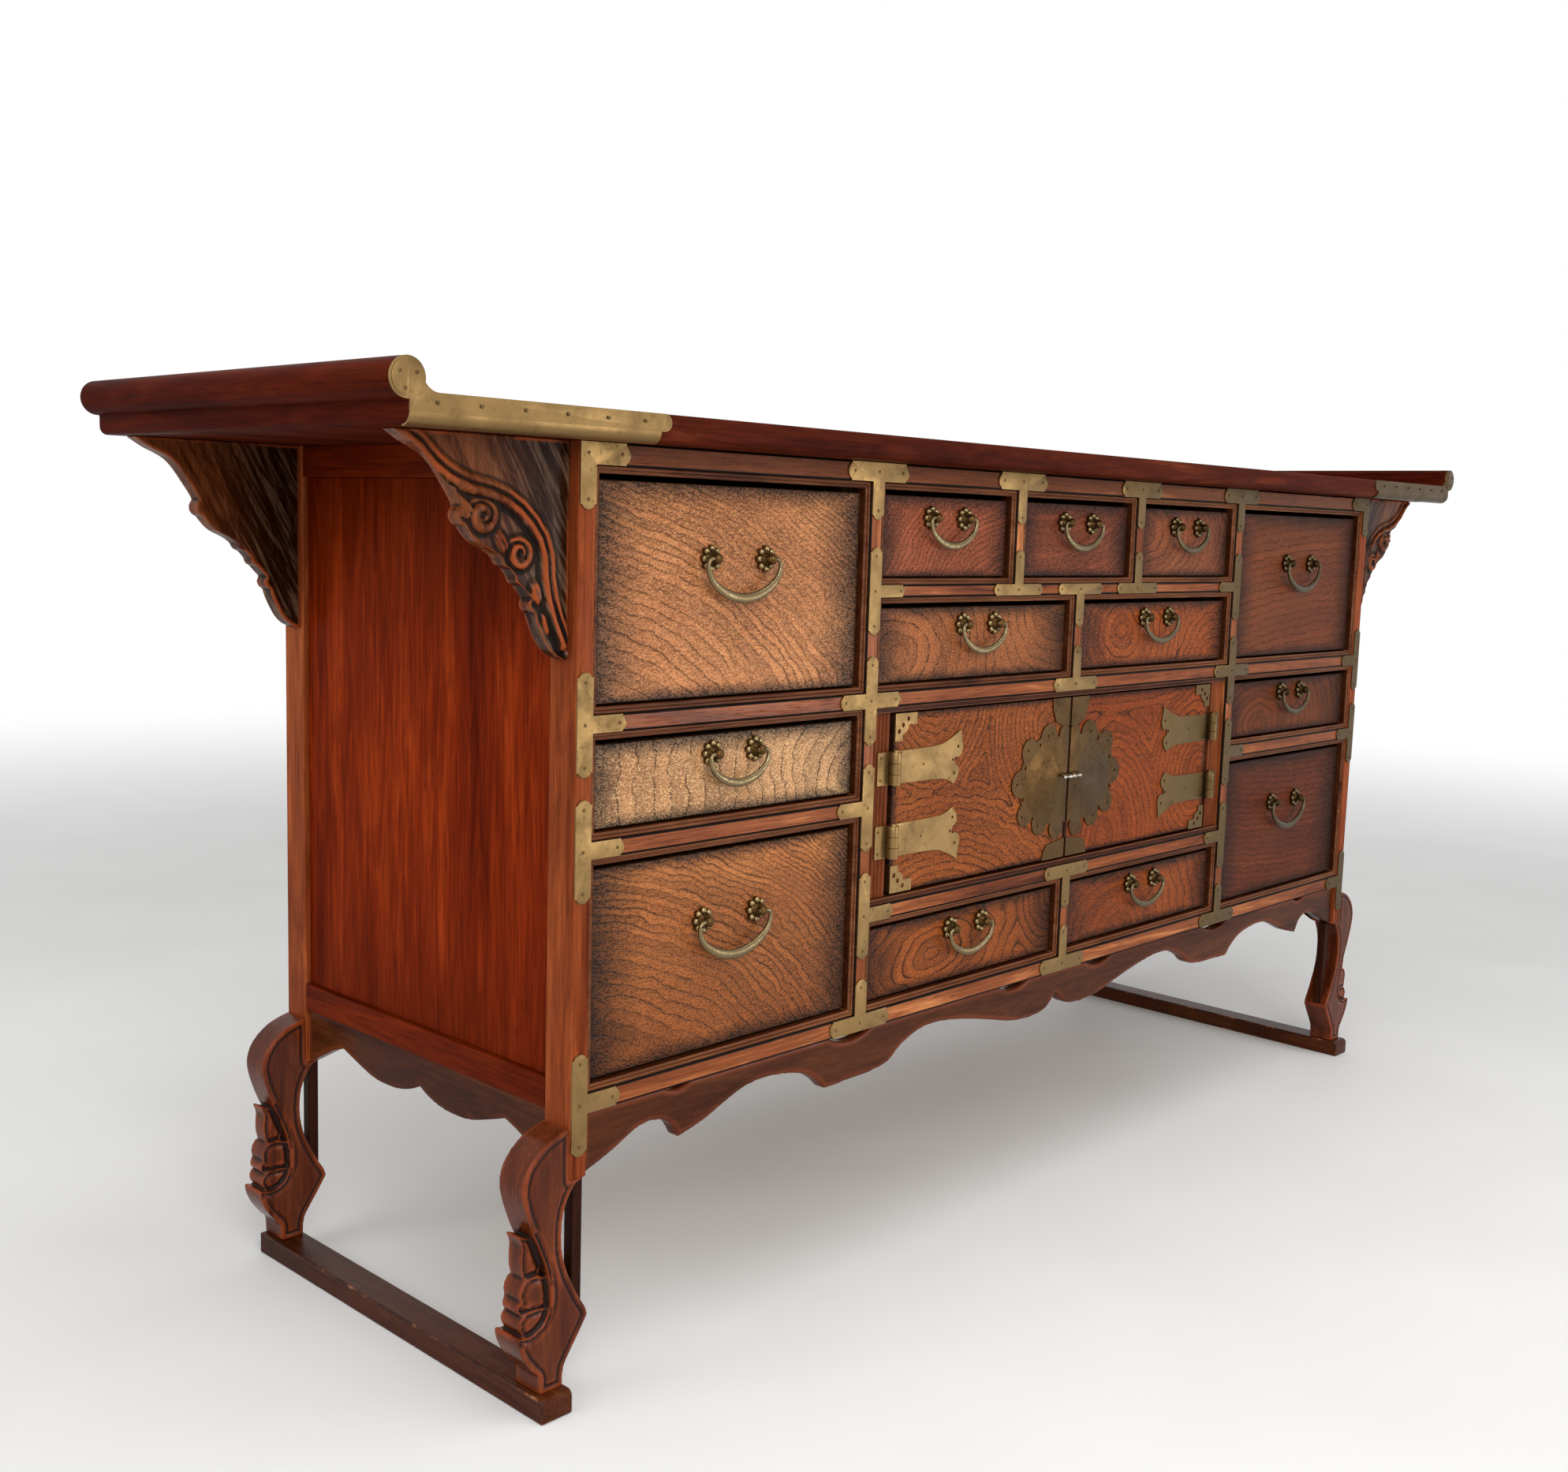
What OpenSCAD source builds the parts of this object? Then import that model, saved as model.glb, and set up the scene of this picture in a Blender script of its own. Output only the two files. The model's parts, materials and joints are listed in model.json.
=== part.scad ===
// Pagoda sideboard: a long case on carved legs, under a top with scrolled ends.
// Thirteen drawers stand round a pair of doors. Lengths are in millimetres.

/* [Case] */
// Width over the corner posts
case_w = 1440; // [1400:10:1560]
// Depth, from the front of the posts to the back
case_d = 450; // [430:5:520]
// Height of the underside above the floor
case_z = 256; // [250:2:290]
// Width of a corner post as seen from the front
post_w = 18; // [16:1:22]
// Depth of a corner post as seen from the side
post_d = 34; // [30:1:40]
// Thickness of the side and back rails
side_t = 16; // [14:1:17]
// Height of the lower side and back rails
side_rail_low_h = 27; // [22:1:32]
// Height of the upper side and back rails
side_rail_top_h = 30; // [24:1:36]
// Thickness of the side and back panels
panel_t = 8; // [5:0.5:9]
// Depth of the side panels behind the face of their frame
panel_inset = 5; // [3:0.5:6]

/* [Front frame] */
// Thickness of the front frame
frame_t = 20; // [18:1:24]
// Height of the bottom rail
rail_low_h = 18; // [14:1:24]
// Height of the top rail
rail_top_h = 19.5; // [15:0.5:26]
// Height of the rails between drawers
rail_h = 16; // [13:0.5:19]
// Height of the rail under the three small drawers
rail_thin_h = 13; // [11:0.5:16]
// Width of the two tall stiles beside the middle bays
stile_w = 18; // [16:0.5:20]
// Width of the short dividers between drawers
divider_w = 16; // [14:0.5:18]
// Width of the moulding round an opening
bead_w = 5.5; // [4.5:0.5:6.5]
// Width of the fluted strip beside each door
jamb_w = 28; // [24:1:34]

/* [Bays] */
// Opening width of the side drawers
side_bay_w = 329; // [310:1:345]
// Opening height of the low side drawers
side_low_h = 188; // [175:1:200]
// Opening height of the middle side drawers
side_mid_h = 78; // [72:1:86]
// Opening height of the top side drawers
side_top_h = 190.5; // [182:0.5:200]
// Opening height of the pair of drawers under the doors
pair_low_h = 80; // [74:1:86]
// Opening height of the pair of drawers over the doors
pair_top_h = 80.5; // [76:0.5:86]
// Opening width of the middle small drawer
small_bay_w = 209; // [195:1:225]

/* [Drawers] */
// Length from the front to the back of a drawer
drawer_l = 400; // [370:5:405]
// Thickness of a drawer front
front_t = 16; // [12:0.5:20]
// Depth of a drawer front behind the frame
front_inset = 8; // [5:0.5:10]
// Thickness of the drawer sides and back
box_t = 10; // [8:0.5:12]
// Thickness of a drawer bottom
base_t = 5; // [4:0.5:7]
// Height of the bottom above the lower edge of the sides
base_up = 4; // [3:0.5:6]
// Height of the front above the sides
side_drop = 12; // [8:1:16]
// Gap at each side of a drawer front
gap_side = 1.5; // [1:0.1:2]
// Gap over a drawer front
gap_top = 5; // [3:0.5:7]
// Gap under a drawer front
gap_low = 1.5; // [1.2:0.1:2]
// Clearance of a drawer over what it runs on
run_gap = 0.3; // [0.2:0.1:0.5]

/* [Inner boards] */
// Thickness of the upright partitions
wall_t = 12; // [10:0.5:14]
// Thickness of the shelves and the bottom
shelf_t = 12; // [9:0.5:14]
// Width of the strips that side drawers run on
guide_w = 22; // [16:1:28]
// Height of those strips
guide_h = 14; // [10:0.5:16]
// Gap at the glued joints of the shelves and drawers
glue_gap = 0.1; // [0.05:0.05:0.2]
// Height of the fences between neighbouring drawers
fence_h = 20; // [12:1:28]
// Thickness of the fences
fence_t = 10; // [7:0.5:11]

/* [Doors] */
// Thickness of a door
door_t = 18; // [15:0.5:22]
// Depth of the doors and jambs behind the frame
door_inset = 5; // [4:0.5:7]
// Gap between a door and its jamb
hinge_gap = 7; // [6:0.5:9]
// Gap over and under a door
door_gap = 2; // [1.5:0.1:3]
// Gap between the two doors
meet_gap = 2; // [1.6:0.1:3]
// Radius of a hinge knuckle
knuckle_r = 6; // [5:0.25:7]
// Radius of a hinge pin
hinge_pin_r = 2; // [1.6:0.1:2.5]
// Running clearance of pins in their holes
pin_gap = 0.06; // [0.04:0.01:0.09]
// Height of a hinge
hinge_h = 33; // [27:1.5:39]
// Distance of each hinge from the middle of the door
hinge_off = 37; // [30:1:42]
// Reach of a hinge leaf on the door
leaf_l = 115; // [95:1:120]
// Reach of a hinge leaf on the jamb
jamb_leaf = 22; // [16:1:26]

/* [Pulls] */
// Spacing of the posts of a large pull
pull_big_w = 68; // [60:1:76]
// Spacing of the posts of a small pull
pull_small_w = 54; // [48:1:60]
// Reach of a post from the drawer front to the pivot
pivot_out = 10.5; // [9.5:0.5:13]
// Radius of a rosette
rosette_r = 12; // [10:0.5:12.5]
// Radius of the ball that carries the bail
ball_r = 4.8; // [4.2:0.1:5.4]
// Radius of a bail's end pins
bail_pin_r = 2; // [1.6:0.1:2.2]
// Radius of a bail's rod along its lower bow
bail_r = 3.1; // [2.6:0.1:3.6]
// Height of a large pull's pivot over the middle of its drawer
pull_big_up = 29; // [22:1:36]
// Height of a small pull's pivot over the middle of its drawer
pull_small_up = 19; // [14:1:22]

/* [Top] */
// Thickness of the top board
top_t = 23; // [19:0.5:27]
// Overhang of the top in front of the case
top_front = 36; // [28:1:44]
// Overhang of the top beyond each side of the case
top_side = 183; // [172:1:196]
// Radius of the rolls at the ends
roll_r = 15; // [13:0.5:17]
// Rounding of the lower front edge
top_round = 9; // [6:0.5:11]
// Length of the brass cap at each front end
cap_l = 248; // [200:2:280]

/* [Legs and aprons] */
// Height of the floor runners
runner_h = 21; // [18:0.5:26]
// Width of the floor runners
runner_w = 33; // [30:1:38]
// Length of a floor runner in front of the posts
runner_front = 10; // [6:1:14]
// Thickness of the aprons
apron_t = 15; // [12:0.5:18]
// Depth of the aprons behind the faces of the case
apron_inset = 4; // [3:0.5:6]
// Width and depth of the slender struts behind the legs
strut_t = 11; // [9:0.5:12]
// Clearance between a strut and its leg
strut_gap = 0.3; // [0.2:0.1:0.5]
// Thickness of the corner brackets
bracket_t = 18; // [14:0.5:22]
// Reach of a bracket from the side of the case
bracket_l = 165; // [150:1:170]
// Height of a bracket
bracket_h = 177; // [160:1:190]

/* [Brass] */
// Thickness of the plates on the frame
plate_t = 1.5; // [1.2:0.1:2]
// Length of a plate's arm beyond the joint
arm_l = 36; // [28:1:38]
// Width of a plate as a share of the piece it lies on
plate_fit = 0.92; // [0.85:0.01:0.98]
// Thickness of the hinge leaves and the lock plates
leaf_t = 1.6; // [1.2:0.1:2]

/* [Hidden] */
$fn = 48;

// Colours of the woods and the brass
frame_wood = "#5a2e1e";
front_wood = "#a8633a";
side_wood = "#8a3a1e";
inner_wood = "#b08a5c";
brass = "#b0925a";
dark_brass = "#7a6a42";

// Total reach in front of the case: the overhang, the cap and its disc
front_reach = top_front + 2 * plate_t;
// The model is drawn with the face of the case at y = 0 and then centred
centre_y = -(case_d - front_reach) / 2;

// Heights of the bays and the rails
bay_low_z = case_z + rail_low_h + bead_w;
side_low_top = bay_low_z + side_low_h;
rail_three_z = side_low_top + bead_w;
side_mid_z = rail_three_z + rail_h + bead_w;
side_mid_top = side_mid_z + side_mid_h;
rail_two_z = side_mid_top + bead_w;
side_top_z = rail_two_z + rail_h + bead_w;
side_top_top = side_top_z + side_top_h;
rail_top_z = side_top_top + bead_w;
case_top = rail_top_z + rail_top_h;
pair_low_top = bay_low_z + pair_low_h;
rail_door_z = pair_low_top + bead_w;
door_bay_z = rail_door_z + rail_h + bead_w;
pair_top_top = side_top_z + pair_top_h;
rail_thin_z = pair_top_top + bead_w;
small_z = rail_thin_z + rail_thin_h + bead_w;

// Distances from the middle of the case
post_x = case_w / 2 - post_w;
side_out_x = post_x - bead_w;
side_in_x = side_out_x - side_bay_w;
stile_out_x = side_in_x - bead_w;
stile_in_x = stile_out_x - stile_w;
stile_mid_x = (stile_out_x + stile_in_x) / 2;
mid_x = stile_in_x - bead_w;
half_div = divider_w / 2;
small_x = small_bay_w / 2;
small_div_x = small_x + bead_w + half_div;
small_out_x = small_div_x + half_div + bead_w;
pair_x = half_div + bead_w;
jamb_x = stile_in_x - jamb_w;
door_x = jamb_x - hinge_gap;
wall_x = stile_mid_x + wall_t / 2;

// A bay is its outer and inner edge in x, its height range and whether its pull is large
left_top = [-side_out_x, -side_in_x, side_top_z, side_top_top, true];
left_mid = [-side_out_x, -side_in_x, side_mid_z, side_mid_top, false];
left_low = [-side_out_x, -side_in_x, bay_low_z, side_low_top, true];
small_left = [-mid_x, -small_out_x, small_z, side_top_top, false];
small_mid = [-small_x, small_x, small_z, side_top_top, false];
pair_left = [-mid_x, -pair_x, side_top_z, pair_top_top, false];
low_left = [-mid_x, -pair_x, bay_low_z, pair_low_top, false];
function flip(b) = [-b[1], -b[0], b[2], b[3], b[4]];
right_top = flip(left_top);
right_mid = flip(left_mid);
right_low = flip(left_low);
small_right = flip(small_left);
pair_right = flip(pair_left);
low_right = flip(low_left);
drawer_bays = [left_top, left_mid, left_low, right_top, right_mid, right_low, small_left,
    small_mid, small_right, pair_left, pair_right, low_left, low_right];

// Depths from the face of the case
back_y = case_d - side_t;
side_run = case_d - 2 * post_d;
hinge_y = door_inset - knuckle_r;
hinge_x = jamb_x - hinge_gap / 2;
door_mid_z = (door_bay_z + side_mid_top) / 2;

// A smooth curve through control points
function bend(a, b, c, d, t) =
    (2 * b + (c - a) * t + (2 * a - 5 * b + 4 * c - d) * t * t + (3 * b - a - 3 * c + d) * t * t * t) / 2;
function spline(p, n) = let (last = len(p) - 1) concat(
    [for (i = [0 : last - 1], k = [0 : n - 1])
        bend(p[max(i - 1, 0)], p[i], p[i + 1], p[min(i + 2, last)], k / n)], [p[last]]);
function reversed(p) = [for (i = [len(p) - 1 : -1 : 0]) p[i]];
function squeezed(p, sx, sy) = [for (q = p) [q[0] * sx, q[1] * sy]];

// A ribbon that runs beside a curve, between two distances from it
function across(p, i) = let (d = p[min(i + 1, len(p) - 1)] - p[max(i - 1, 0)]) [-d[1], d[0]] / norm(d);
function beside(p, gap) = [for (i = [0 : len(p) - 1]) p[i] + gap * across(p, i)];
module ribbon(p, from, to) polygon(concat(beside(p, from), reversed(beside(p, to))));

// A box from two corners in x, y and z
module box(x0, x1, y0, y1, z0, z1) translate([x0, y0, z0]) cube([x1 - x0, y1 - y0, z1 - z0]);
// A shape drawn in x and z, with its front at y0
module standing(y0, thick) translate([0, y0 + thick, 0]) rotate([90, 0, 0])
    linear_extrude(thick) children();
module both_sides() for (s = [0, 1]) mirror([s, 0, 0]) children();
module placed() translate([0, centre_y, 0]) children();

// A corner post, with the slender strut that runs down behind its leg
module corner_posts() color(side_wood) placed() both_sides() {
    for (y = [0, case_d - post_d]) box(-case_w / 2, -post_x, y, y + post_d, post_foot_z, case_top);
    for (y = [9, case_d - 9 - strut_t]) standing(y, strut_t) difference() {
        translate([-post_x - 7, leg_z(0.25)]) square([strut_t, post_foot_z - leg_z(0.25)]);
        leg_outline(strut_gap);
    }
}

module side_and_back_rails() color(side_wood) placed()
    for (z = [[case_z, side_rail_low_h], [case_top - side_rail_top_h, side_rail_top_h]]) {
        both_sides() box(-case_w / 2, side_t - case_w / 2, post_d, case_d - post_d, z[0], z[0] + z[1]);
        box(-post_x, post_x, back_y, case_d, z[0], z[0] + z[1]);
    }

module case_panels() {
    z0 = case_z + side_rail_low_h;
    z1 = case_top - side_rail_top_h;
    color(side_wood) placed() both_sides()
        box(panel_inset - case_w / 2, panel_inset + panel_t - case_w / 2, post_d, case_d - post_d,
            z0, z1);
    color(inner_wood) placed() box(-post_x, post_x, back_y, back_y + panel_t, z0, z1);
}

module front_rails() color(frame_wood) placed() {
    box(-post_x, post_x, 0, frame_t, case_z, case_z + rail_low_h);
    box(-post_x, post_x, 0, frame_t, rail_top_z, case_top);
    both_sides() for (z = [rail_two_z, rail_three_z]) box(-post_x, -stile_out_x, 0, frame_t, z,
        z + rail_h);
    for (z = [rail_door_z, rail_two_z]) box(-stile_in_x, stile_in_x, 0, frame_t, z, z + rail_h);
    box(-stile_in_x, stile_in_x, 0, frame_t, rail_thin_z, rail_thin_z + rail_thin_h);
}

module front_stiles() color(frame_wood) placed() {
    both_sides() {
        box(-stile_out_x, -stile_in_x, 0, frame_t, case_z + rail_low_h, rail_top_z);
        box(-small_div_x - half_div, -small_div_x + half_div, 0, frame_t,
            rail_thin_z + rail_thin_h, rail_top_z);
    }
    box(-half_div, half_div, 0, frame_t, rail_two_z + rail_h, rail_thin_z);
    box(-half_div, half_div, 0, frame_t, case_z + rail_low_h, rail_door_z);
}

// The strips that carry the hinges, with four flutes down the face
module door_jambs() color(frame_wood) placed() both_sides() {
    flutes = 4;
    flute_r = 1.6;
    pitch = jamb_w / (flutes + 1);
    difference() {
        box(-stile_in_x, -jamb_x, door_inset, frame_t, door_bay_z, side_mid_top);
        for (i = [1 : flutes])
            translate([-stile_in_x + i * pitch, door_inset, door_bay_z - 1])
                cylinder(r = flute_r, h = side_mid_top - door_bay_z + 2, $fn = 24);
    }
}

// The moulding of one opening: a flat ring with a tall outer bead and a low inner one
module moulding_ring(b) {
    lip = bead_w * 0.4;
    step = 1;
    module ring(grow, wide) difference() {
        translate([b[0] - grow, b[2] - grow]) square([b[1] - b[0] + 2 * grow, b[3] - b[2] + 2 * grow]);
        translate([b[0] - grow + wide, b[2] - grow + wide])
            square([b[1] - b[0] + 2 * (grow - wide), b[3] - b[2] + 2 * (grow - wide)]);
    }
    standing(3 * step, frame_t - 3 * step) ring(bead_w, bead_w);
    standing(step, 2 * step) ring(bead_w, lip);
    standing(2 * step, step) ring(lip + step / 2, lip);
}

module opening_mouldings() color(frame_wood) placed() {
    for (b = drawer_bays) moulding_ring(b);
    for (z = [door_bay_z - bead_w, side_mid_top]) box(-stile_in_x, stile_in_x, 1, frame_t, z,
        z + bead_w);
}

// Top of what a drawer runs on, from the bottom of its opening
function run_z(z) = z + gap_low - run_gap;

module inner_boards() color(inner_wood) placed() {
    box(-post_x, post_x, frame_t, back_y, run_z(bay_low_z) - shelf_t, run_z(bay_low_z));
    both_sides() box(-wall_x, wall_t - wall_x, frame_t, back_y, run_z(bay_low_z) + glue_gap, case_top);
    shelf_x = wall_x - wall_t - glue_gap;
    for (z = [door_bay_z, run_z(side_top_z), run_z(small_z)])
        box(-shelf_x, shelf_x, frame_t, back_y, z - shelf_t, z);
}

module drawer_guides() color(inner_wood) placed() {
    both_sides() for (z = [run_z(side_mid_z), run_z(side_top_z)]) {
        box(-post_x, guide_w - post_x, frame_t, back_y, z - guide_h, z);
        box(-wall_x - guide_w, -wall_x, frame_t, back_y, z - guide_h, z);
    }
    both_sides() fence(-small_div_x, run_z(small_z));
    fence(0, run_z(side_top_z));
    fence(0, run_z(bay_low_z));
}

module fence(x, z) box(x - fence_t / 2, x + fence_t / 2, frame_t, back_y, z, z + fence_h);

// Half of the top's outline in x and z: the board, its end roll and the fillet between them
module top_outline() {
    end_x = case_w / 2 + top_side;
    roll_x = end_x + 2;
    roll_z = case_top + top_t + roll_r * 0.6;
    fillet_x = roll_x - 1.8 * roll_r;
    low_round = 7;
    difference() {
        union() {
            translate([-end_x, case_top]) square([2 * end_x, top_t]);
            both_sides() {
                translate([-roll_x, roll_z]) circle(roll_r, $fn = 72);
                difference() {
                    translate([-roll_x, case_top + top_t]) square([roll_x - fillet_x, roll_r]);
                    translate([-fillet_x, case_top + top_t + roll_r]) circle(roll_r, $fn = 72);
                }
            }
        }
        both_sides() difference() {
            translate([-end_x - 1, case_top - 1]) square([low_round + 1, low_round + 1]);
            translate([low_round - end_x, case_top + low_round]) circle(low_round, $fn = 48);
        }
    }
}

module top_board() color(side_wood) placed() difference() {
    standing(-top_front, case_d + top_front) top_outline();
    long = case_w + 2 * top_side + 2;
    difference() {
        box(-long / 2, long / 2, -top_front - 1, top_round - top_front, case_top - 1,
            case_top + top_round);
        translate([-long / 2, top_round - top_front, case_top + top_round]) rotate([0, 90, 0])
            cylinder(r = top_round, h = long, $fn = 48);
    }
}

// The brass cap on each front end, bent round the lower edge, and the disc on the end of the roll
module top_plates() color(brass) placed() both_sides() {
    end_x = case_w / 2 + top_side;
    lobe_r = (top_t - top_round) / 2;
    clear = 0.05;
    standing(-top_front - plate_t, plate_t) {
        intersection() {
            top_outline();
            translate([-end_x - 2 * roll_r, case_top + top_round - 0.3])
                square([cap_l + 2 * roll_r - lobe_r, top_t + 2 * roll_r]);
        }
        translate([cap_l - end_x - lobe_r, case_top + top_round + lobe_r]) circle(lobe_r, $fn = 48);
    }
    translate([-end_x, top_round - top_front, case_top + top_round]) rotate([0, 90, 0])
        rotate([0, 0, -90]) rotate_extrude(angle = 90, $fn = 96) translate([top_round + clear, 0])
            square([plate_t - clear, cap_l - lobe_r * 1.6]);
    translate([-end_x - 2, -top_front - plate_t, case_top + top_t + roll_r * 0.6]) rotate([90, 0, 0])
        cylinder(r = roll_r * 0.9, h = plate_t, $fn = 72);
}

// A plate on a joint: arms a little under the stile's width up and down, under the rail's height
// left and right
module joint_plate(x, z, stile, rail, left, right, up, down) {
    wide = stile * plate_fit;
    high = rail * plate_fit;
    translate([x, z]) {
        square([wide, high], center = true);
        if (up) arm(high / 2, wide, 90);
        if (down) arm(high / 2, wide, 270);
        if (right) arm(wide / 2, high, 0);
        if (left) arm(wide / 2, high, 180);
    }
}

// An arm ends in a shallow bow between two small nicks
module arm(from, wide, turn) rotate(turn) {
    bow_r = wide * 0.45;
    translate([from - 1, -wide / 2]) square([arm_l - wide * 0.26 + 1, wide]);
    translate([from + arm_l - bow_r, 0]) circle(bow_r, $fn = 36);
}

module frame_plates() color(brass) placed() standing(-plate_t, plate_t) {
    top_z = rail_top_z + rail_top_h / 2;
    two_z = rail_two_z + rail_h / 2;
    three_z = rail_three_z + rail_h / 2;
    door_z = rail_door_z + rail_h / 2;
    thin_z = rail_thin_z + rail_thin_h / 2;
    low_z = case_z + rail_low_h / 2;
    corner_x = post_x + post_w / 2;
    both_sides() {
        joint_plate(-corner_x, top_z, post_w, rail_top_h, false, true, false, true);
        for (z = [two_z, three_z]) joint_plate(-corner_x, z, post_w, rail_h, false, true, true, true);
        joint_plate(-corner_x, low_z, post_w, rail_low_h, false, true, true, true);
        joint_plate(-stile_mid_x, top_z, stile_w, rail_top_h, true, true, false, true);
        joint_plate(-stile_mid_x, thin_z, stile_w, rail_thin_h, false, true, true, true);
        joint_plate(-stile_mid_x, two_z, stile_w, rail_h, true, true, true, true);
        joint_plate(-stile_mid_x, three_z, stile_w, rail_h, true, false, true, true);
        joint_plate(-stile_mid_x, door_z, stile_w, rail_h, false, true, true, true);
        joint_plate(-stile_mid_x, low_z, stile_w, rail_low_h, true, true, true, false);
        joint_plate(-small_div_x, top_z, divider_w, rail_top_h, true, true, false, true);
        joint_plate(-small_div_x, thin_z, divider_w, rail_thin_h, true, true, true, false);
    }
    joint_plate(0, thin_z, divider_w, rail_thin_h, true, true, false, true);
    joint_plate(0, two_z, divider_w, rail_h, true, true, true, false);
    joint_plate(0, door_z, divider_w, rail_h, true, true, false, true);
    joint_plate(0, low_z, divider_w, rail_low_h, true, true, true, false);
}

// Outline of a bracket as reach from the case and drop from its top, at the drawn size
bracket_curve = concat(
    spline([[165, 0], [150, 9], [128, 20], [112, 40], [102, 56], [100, 69]], 4),
    spline([[100, 69], [88, 82], [70, 91], [55, 104], [44, 117], [34, 127]], 4),
    spline([[34, 127], [29, 146], [16, 168], [0, 177]], 4));
bracket_bead = spline([[146, 8], [128, 26], [113, 38], [93, 42], [72, 45], [51, 56], [35, 71], [26, 88],
    [25, 105], [21, 124], [12, 145], [4, 162]], 4);
// Grooves that fan out over the plain part of a bracket
bracket_grooves = [spline([[112, 8], [92, 20], [70, 28], [44, 40]], 4),
    spline([[80, 6], [58, 20], [36, 40], [20, 66]], 4), spline([[52, 6], [34, 24], [18, 52],
        [10, 90]], 4)];
// Middle, radius and first angle of the curls under the bead
bracket_curls = [[84, 62, 13, 200], [51, 90, 13, 230]];
bracket_sx = bracket_l / 165;
bracket_sz = bracket_h / 177;

module corner_brackets() color(side_wood) placed() both_sides() {
    raised = 2;
    front_y = 11;
    groove = 1;
    for (y = [front_y, case_d - front_y - bracket_t]) difference() {
        bracket_board(y);
        standing(y - 1, groove + 1) on_bracket()
            for (g = bracket_grooves) ribbon(squeezed(g, bracket_sx, bracket_sz), 0, 1.6);
    }
    standing(front_y - raised, raised) on_bracket() {
        bead = squeezed(bracket_bead, bracket_sx, bracket_sz);
        ribbon(bead, 0.8, 4);
        ribbon(bead, -3, -0.8);
        for (c = bracket_curls) translate([c[0] * bracket_sx, c[1] * bracket_sz]) {
            ribbon([for (t = [0 : 0.04 : 1]) (c[2] - 8 * t) * [cos(c[3] + 400 * t),
                sin(c[3] + 400 * t)]], 0, 3);
            circle(2.6, $fn = 24);
        }
    }
}

module on_bracket() translate([-case_w / 2, case_top]) scale([-1, -1]) children();

// Lobes along a bracket's edge: middle and radius
bracket_lobes = [[97, 62, 8.5], [80, 76, 9], [56, 93, 9], [43, 108, 8], [30, 131, 7], [19, 150, 7]];

module bracket_board(y) standing(y, bracket_t) on_bracket() {
    for (c = bracket_lobes) translate([c[0] * bracket_sx, c[1] * bracket_sz]) circle(c[2], $fn = 36);
    polygon(concat([[0, 0]], squeezed(bracket_curve, bracket_sx, bracket_sz)));
}

// Heights on a leg, as a share of the way from the runner to the case, and how much wider or
// deeper the stand's curves are than they were drawn
function leg_z(t) = runner_h + t * (case_z - runner_h);
stand_k = case_z / 256;
function on_stand(p) = [for (q = p) [q[0] * stand_k, leg_z(q[1])]];

// Lower edge of the front apron as distance from the middle and drop, at the drawn size
apron_drawn = 702;
apron_waves = [
    spline([[0, 25], [8, 34], [22, 43], [50, 46.5], [85, 44], [124, 35], [170, 25], [215, 18.5],
        [250, 20], [280, 31], [300, 44], [330, 48.5], [365, 49.5], [396, 50]], 3),
    spline([[396, 50], [408, 39], [431, 27], [470, 20.5], [505, 22], [535, 32], [560, 42],
        [591, 50]], 3),
    spline([[591, 50], [600, 36], [612, 29], [628, 27], [645, 31], [670, 43], [702, 55]], 3)];
apron_half = [for (w = apron_waves, q = w) q];
// Lower edge of a side apron, the same way
side_drawn = 191;
side_half = concat(
    spline([[0, 31], [15, 38], [40, 43.5], [75, 43], [105, 35], [130, 27]], 3),
    spline([[130, 27], [150, 34], [170, 44], [191, 55]], 3));
// Middle, width and depth of the slots along the top of the front apron
apron_slots = [[85, 56, 8], [360, 66, 9], [594, 30, 5]];

function drop_half(half, s) = [for (q = half) [q[0] * s, case_z - q[1] * stand_k]];
function drop_curve(half, drawn, length) = let (p = drop_half(half, length / drawn)) concat(
    [for (i = [len(p) - 1 : -1 : 1]) [-p[i][0], p[i][1]]], p);

module aprons() color(frame_wood) placed() {
    groove = 1;
    difference() {
        front_apron();
        both_sides() standing(apron_inset - 1, groove + 1) for (w = apron_waves)
            ribbon(drop_half(w, post_x / apron_drawn), 4.5, 5.9);
    }
    side_aprons();
}

module front_apron()
    standing(apron_inset, apron_t) difference() {
        polygon(concat(drop_curve(apron_half, apron_drawn, post_x), [[post_x, case_z],
            [-post_x, case_z]]));
        both_sides() for (s = apron_slots) {
            deep = s[2] * stand_k;
            r = (s[1] * s[1] / 4 + deep * deep) / (2 * deep);
            translate([-s[0] * post_x / apron_drawn, case_z + r - deep]) circle(r, $fn = 180);
        }
    }

module side_aprons()
    both_sides() translate([apron_inset - case_w / 2, case_d / 2, 0]) rotate([90, 0, 90])
        linear_extrude(apron_t) polygon(concat(drop_curve(side_half, side_drawn, side_run / 2),
            [[side_run / 2, case_z], [-side_run / 2, case_z]]));

post_foot = 0.766;
post_foot_z = leg_z(post_foot);
// Outline of a leg's front as reach from the side of the case and share of its height
leg_bow = spline([[0, 0.962], [22, 0.93], [38.5, 0.875], [46.5, 0.81], [46.5, 0.74], [38.5, 0.634],
    [29, 0.543],
    [21, 0.454], [17.5, 0.371], [18.4, 0.312], [22, 0.272], [29, 0.245], [39, 0.232], [51, 0.243]], 4);
leg_outer = concat(leg_bow,
    spline([[51, 0.243], [50, 0.206], [44.5, 0.153], [35, 0.098], [29, 0.066], [28, 0]], 4));
leg_shin = spline([[-22.5, 0.238], [-20, 0.268], [-11, 0.33], [-4, 0.39], [3, 0.46], [7, 0.55],
    [6, 0.634],
    [1, 0.70], [-7, 0.752]], 4);
leg_inner = concat(
    spline([[4, 0], [3, 0.07], [-3, 0.115], [-12, 0.17], [-22.5, 0.238]],
        4), leg_shin, [[-post_w / stand_k, post_foot]]);
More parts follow.
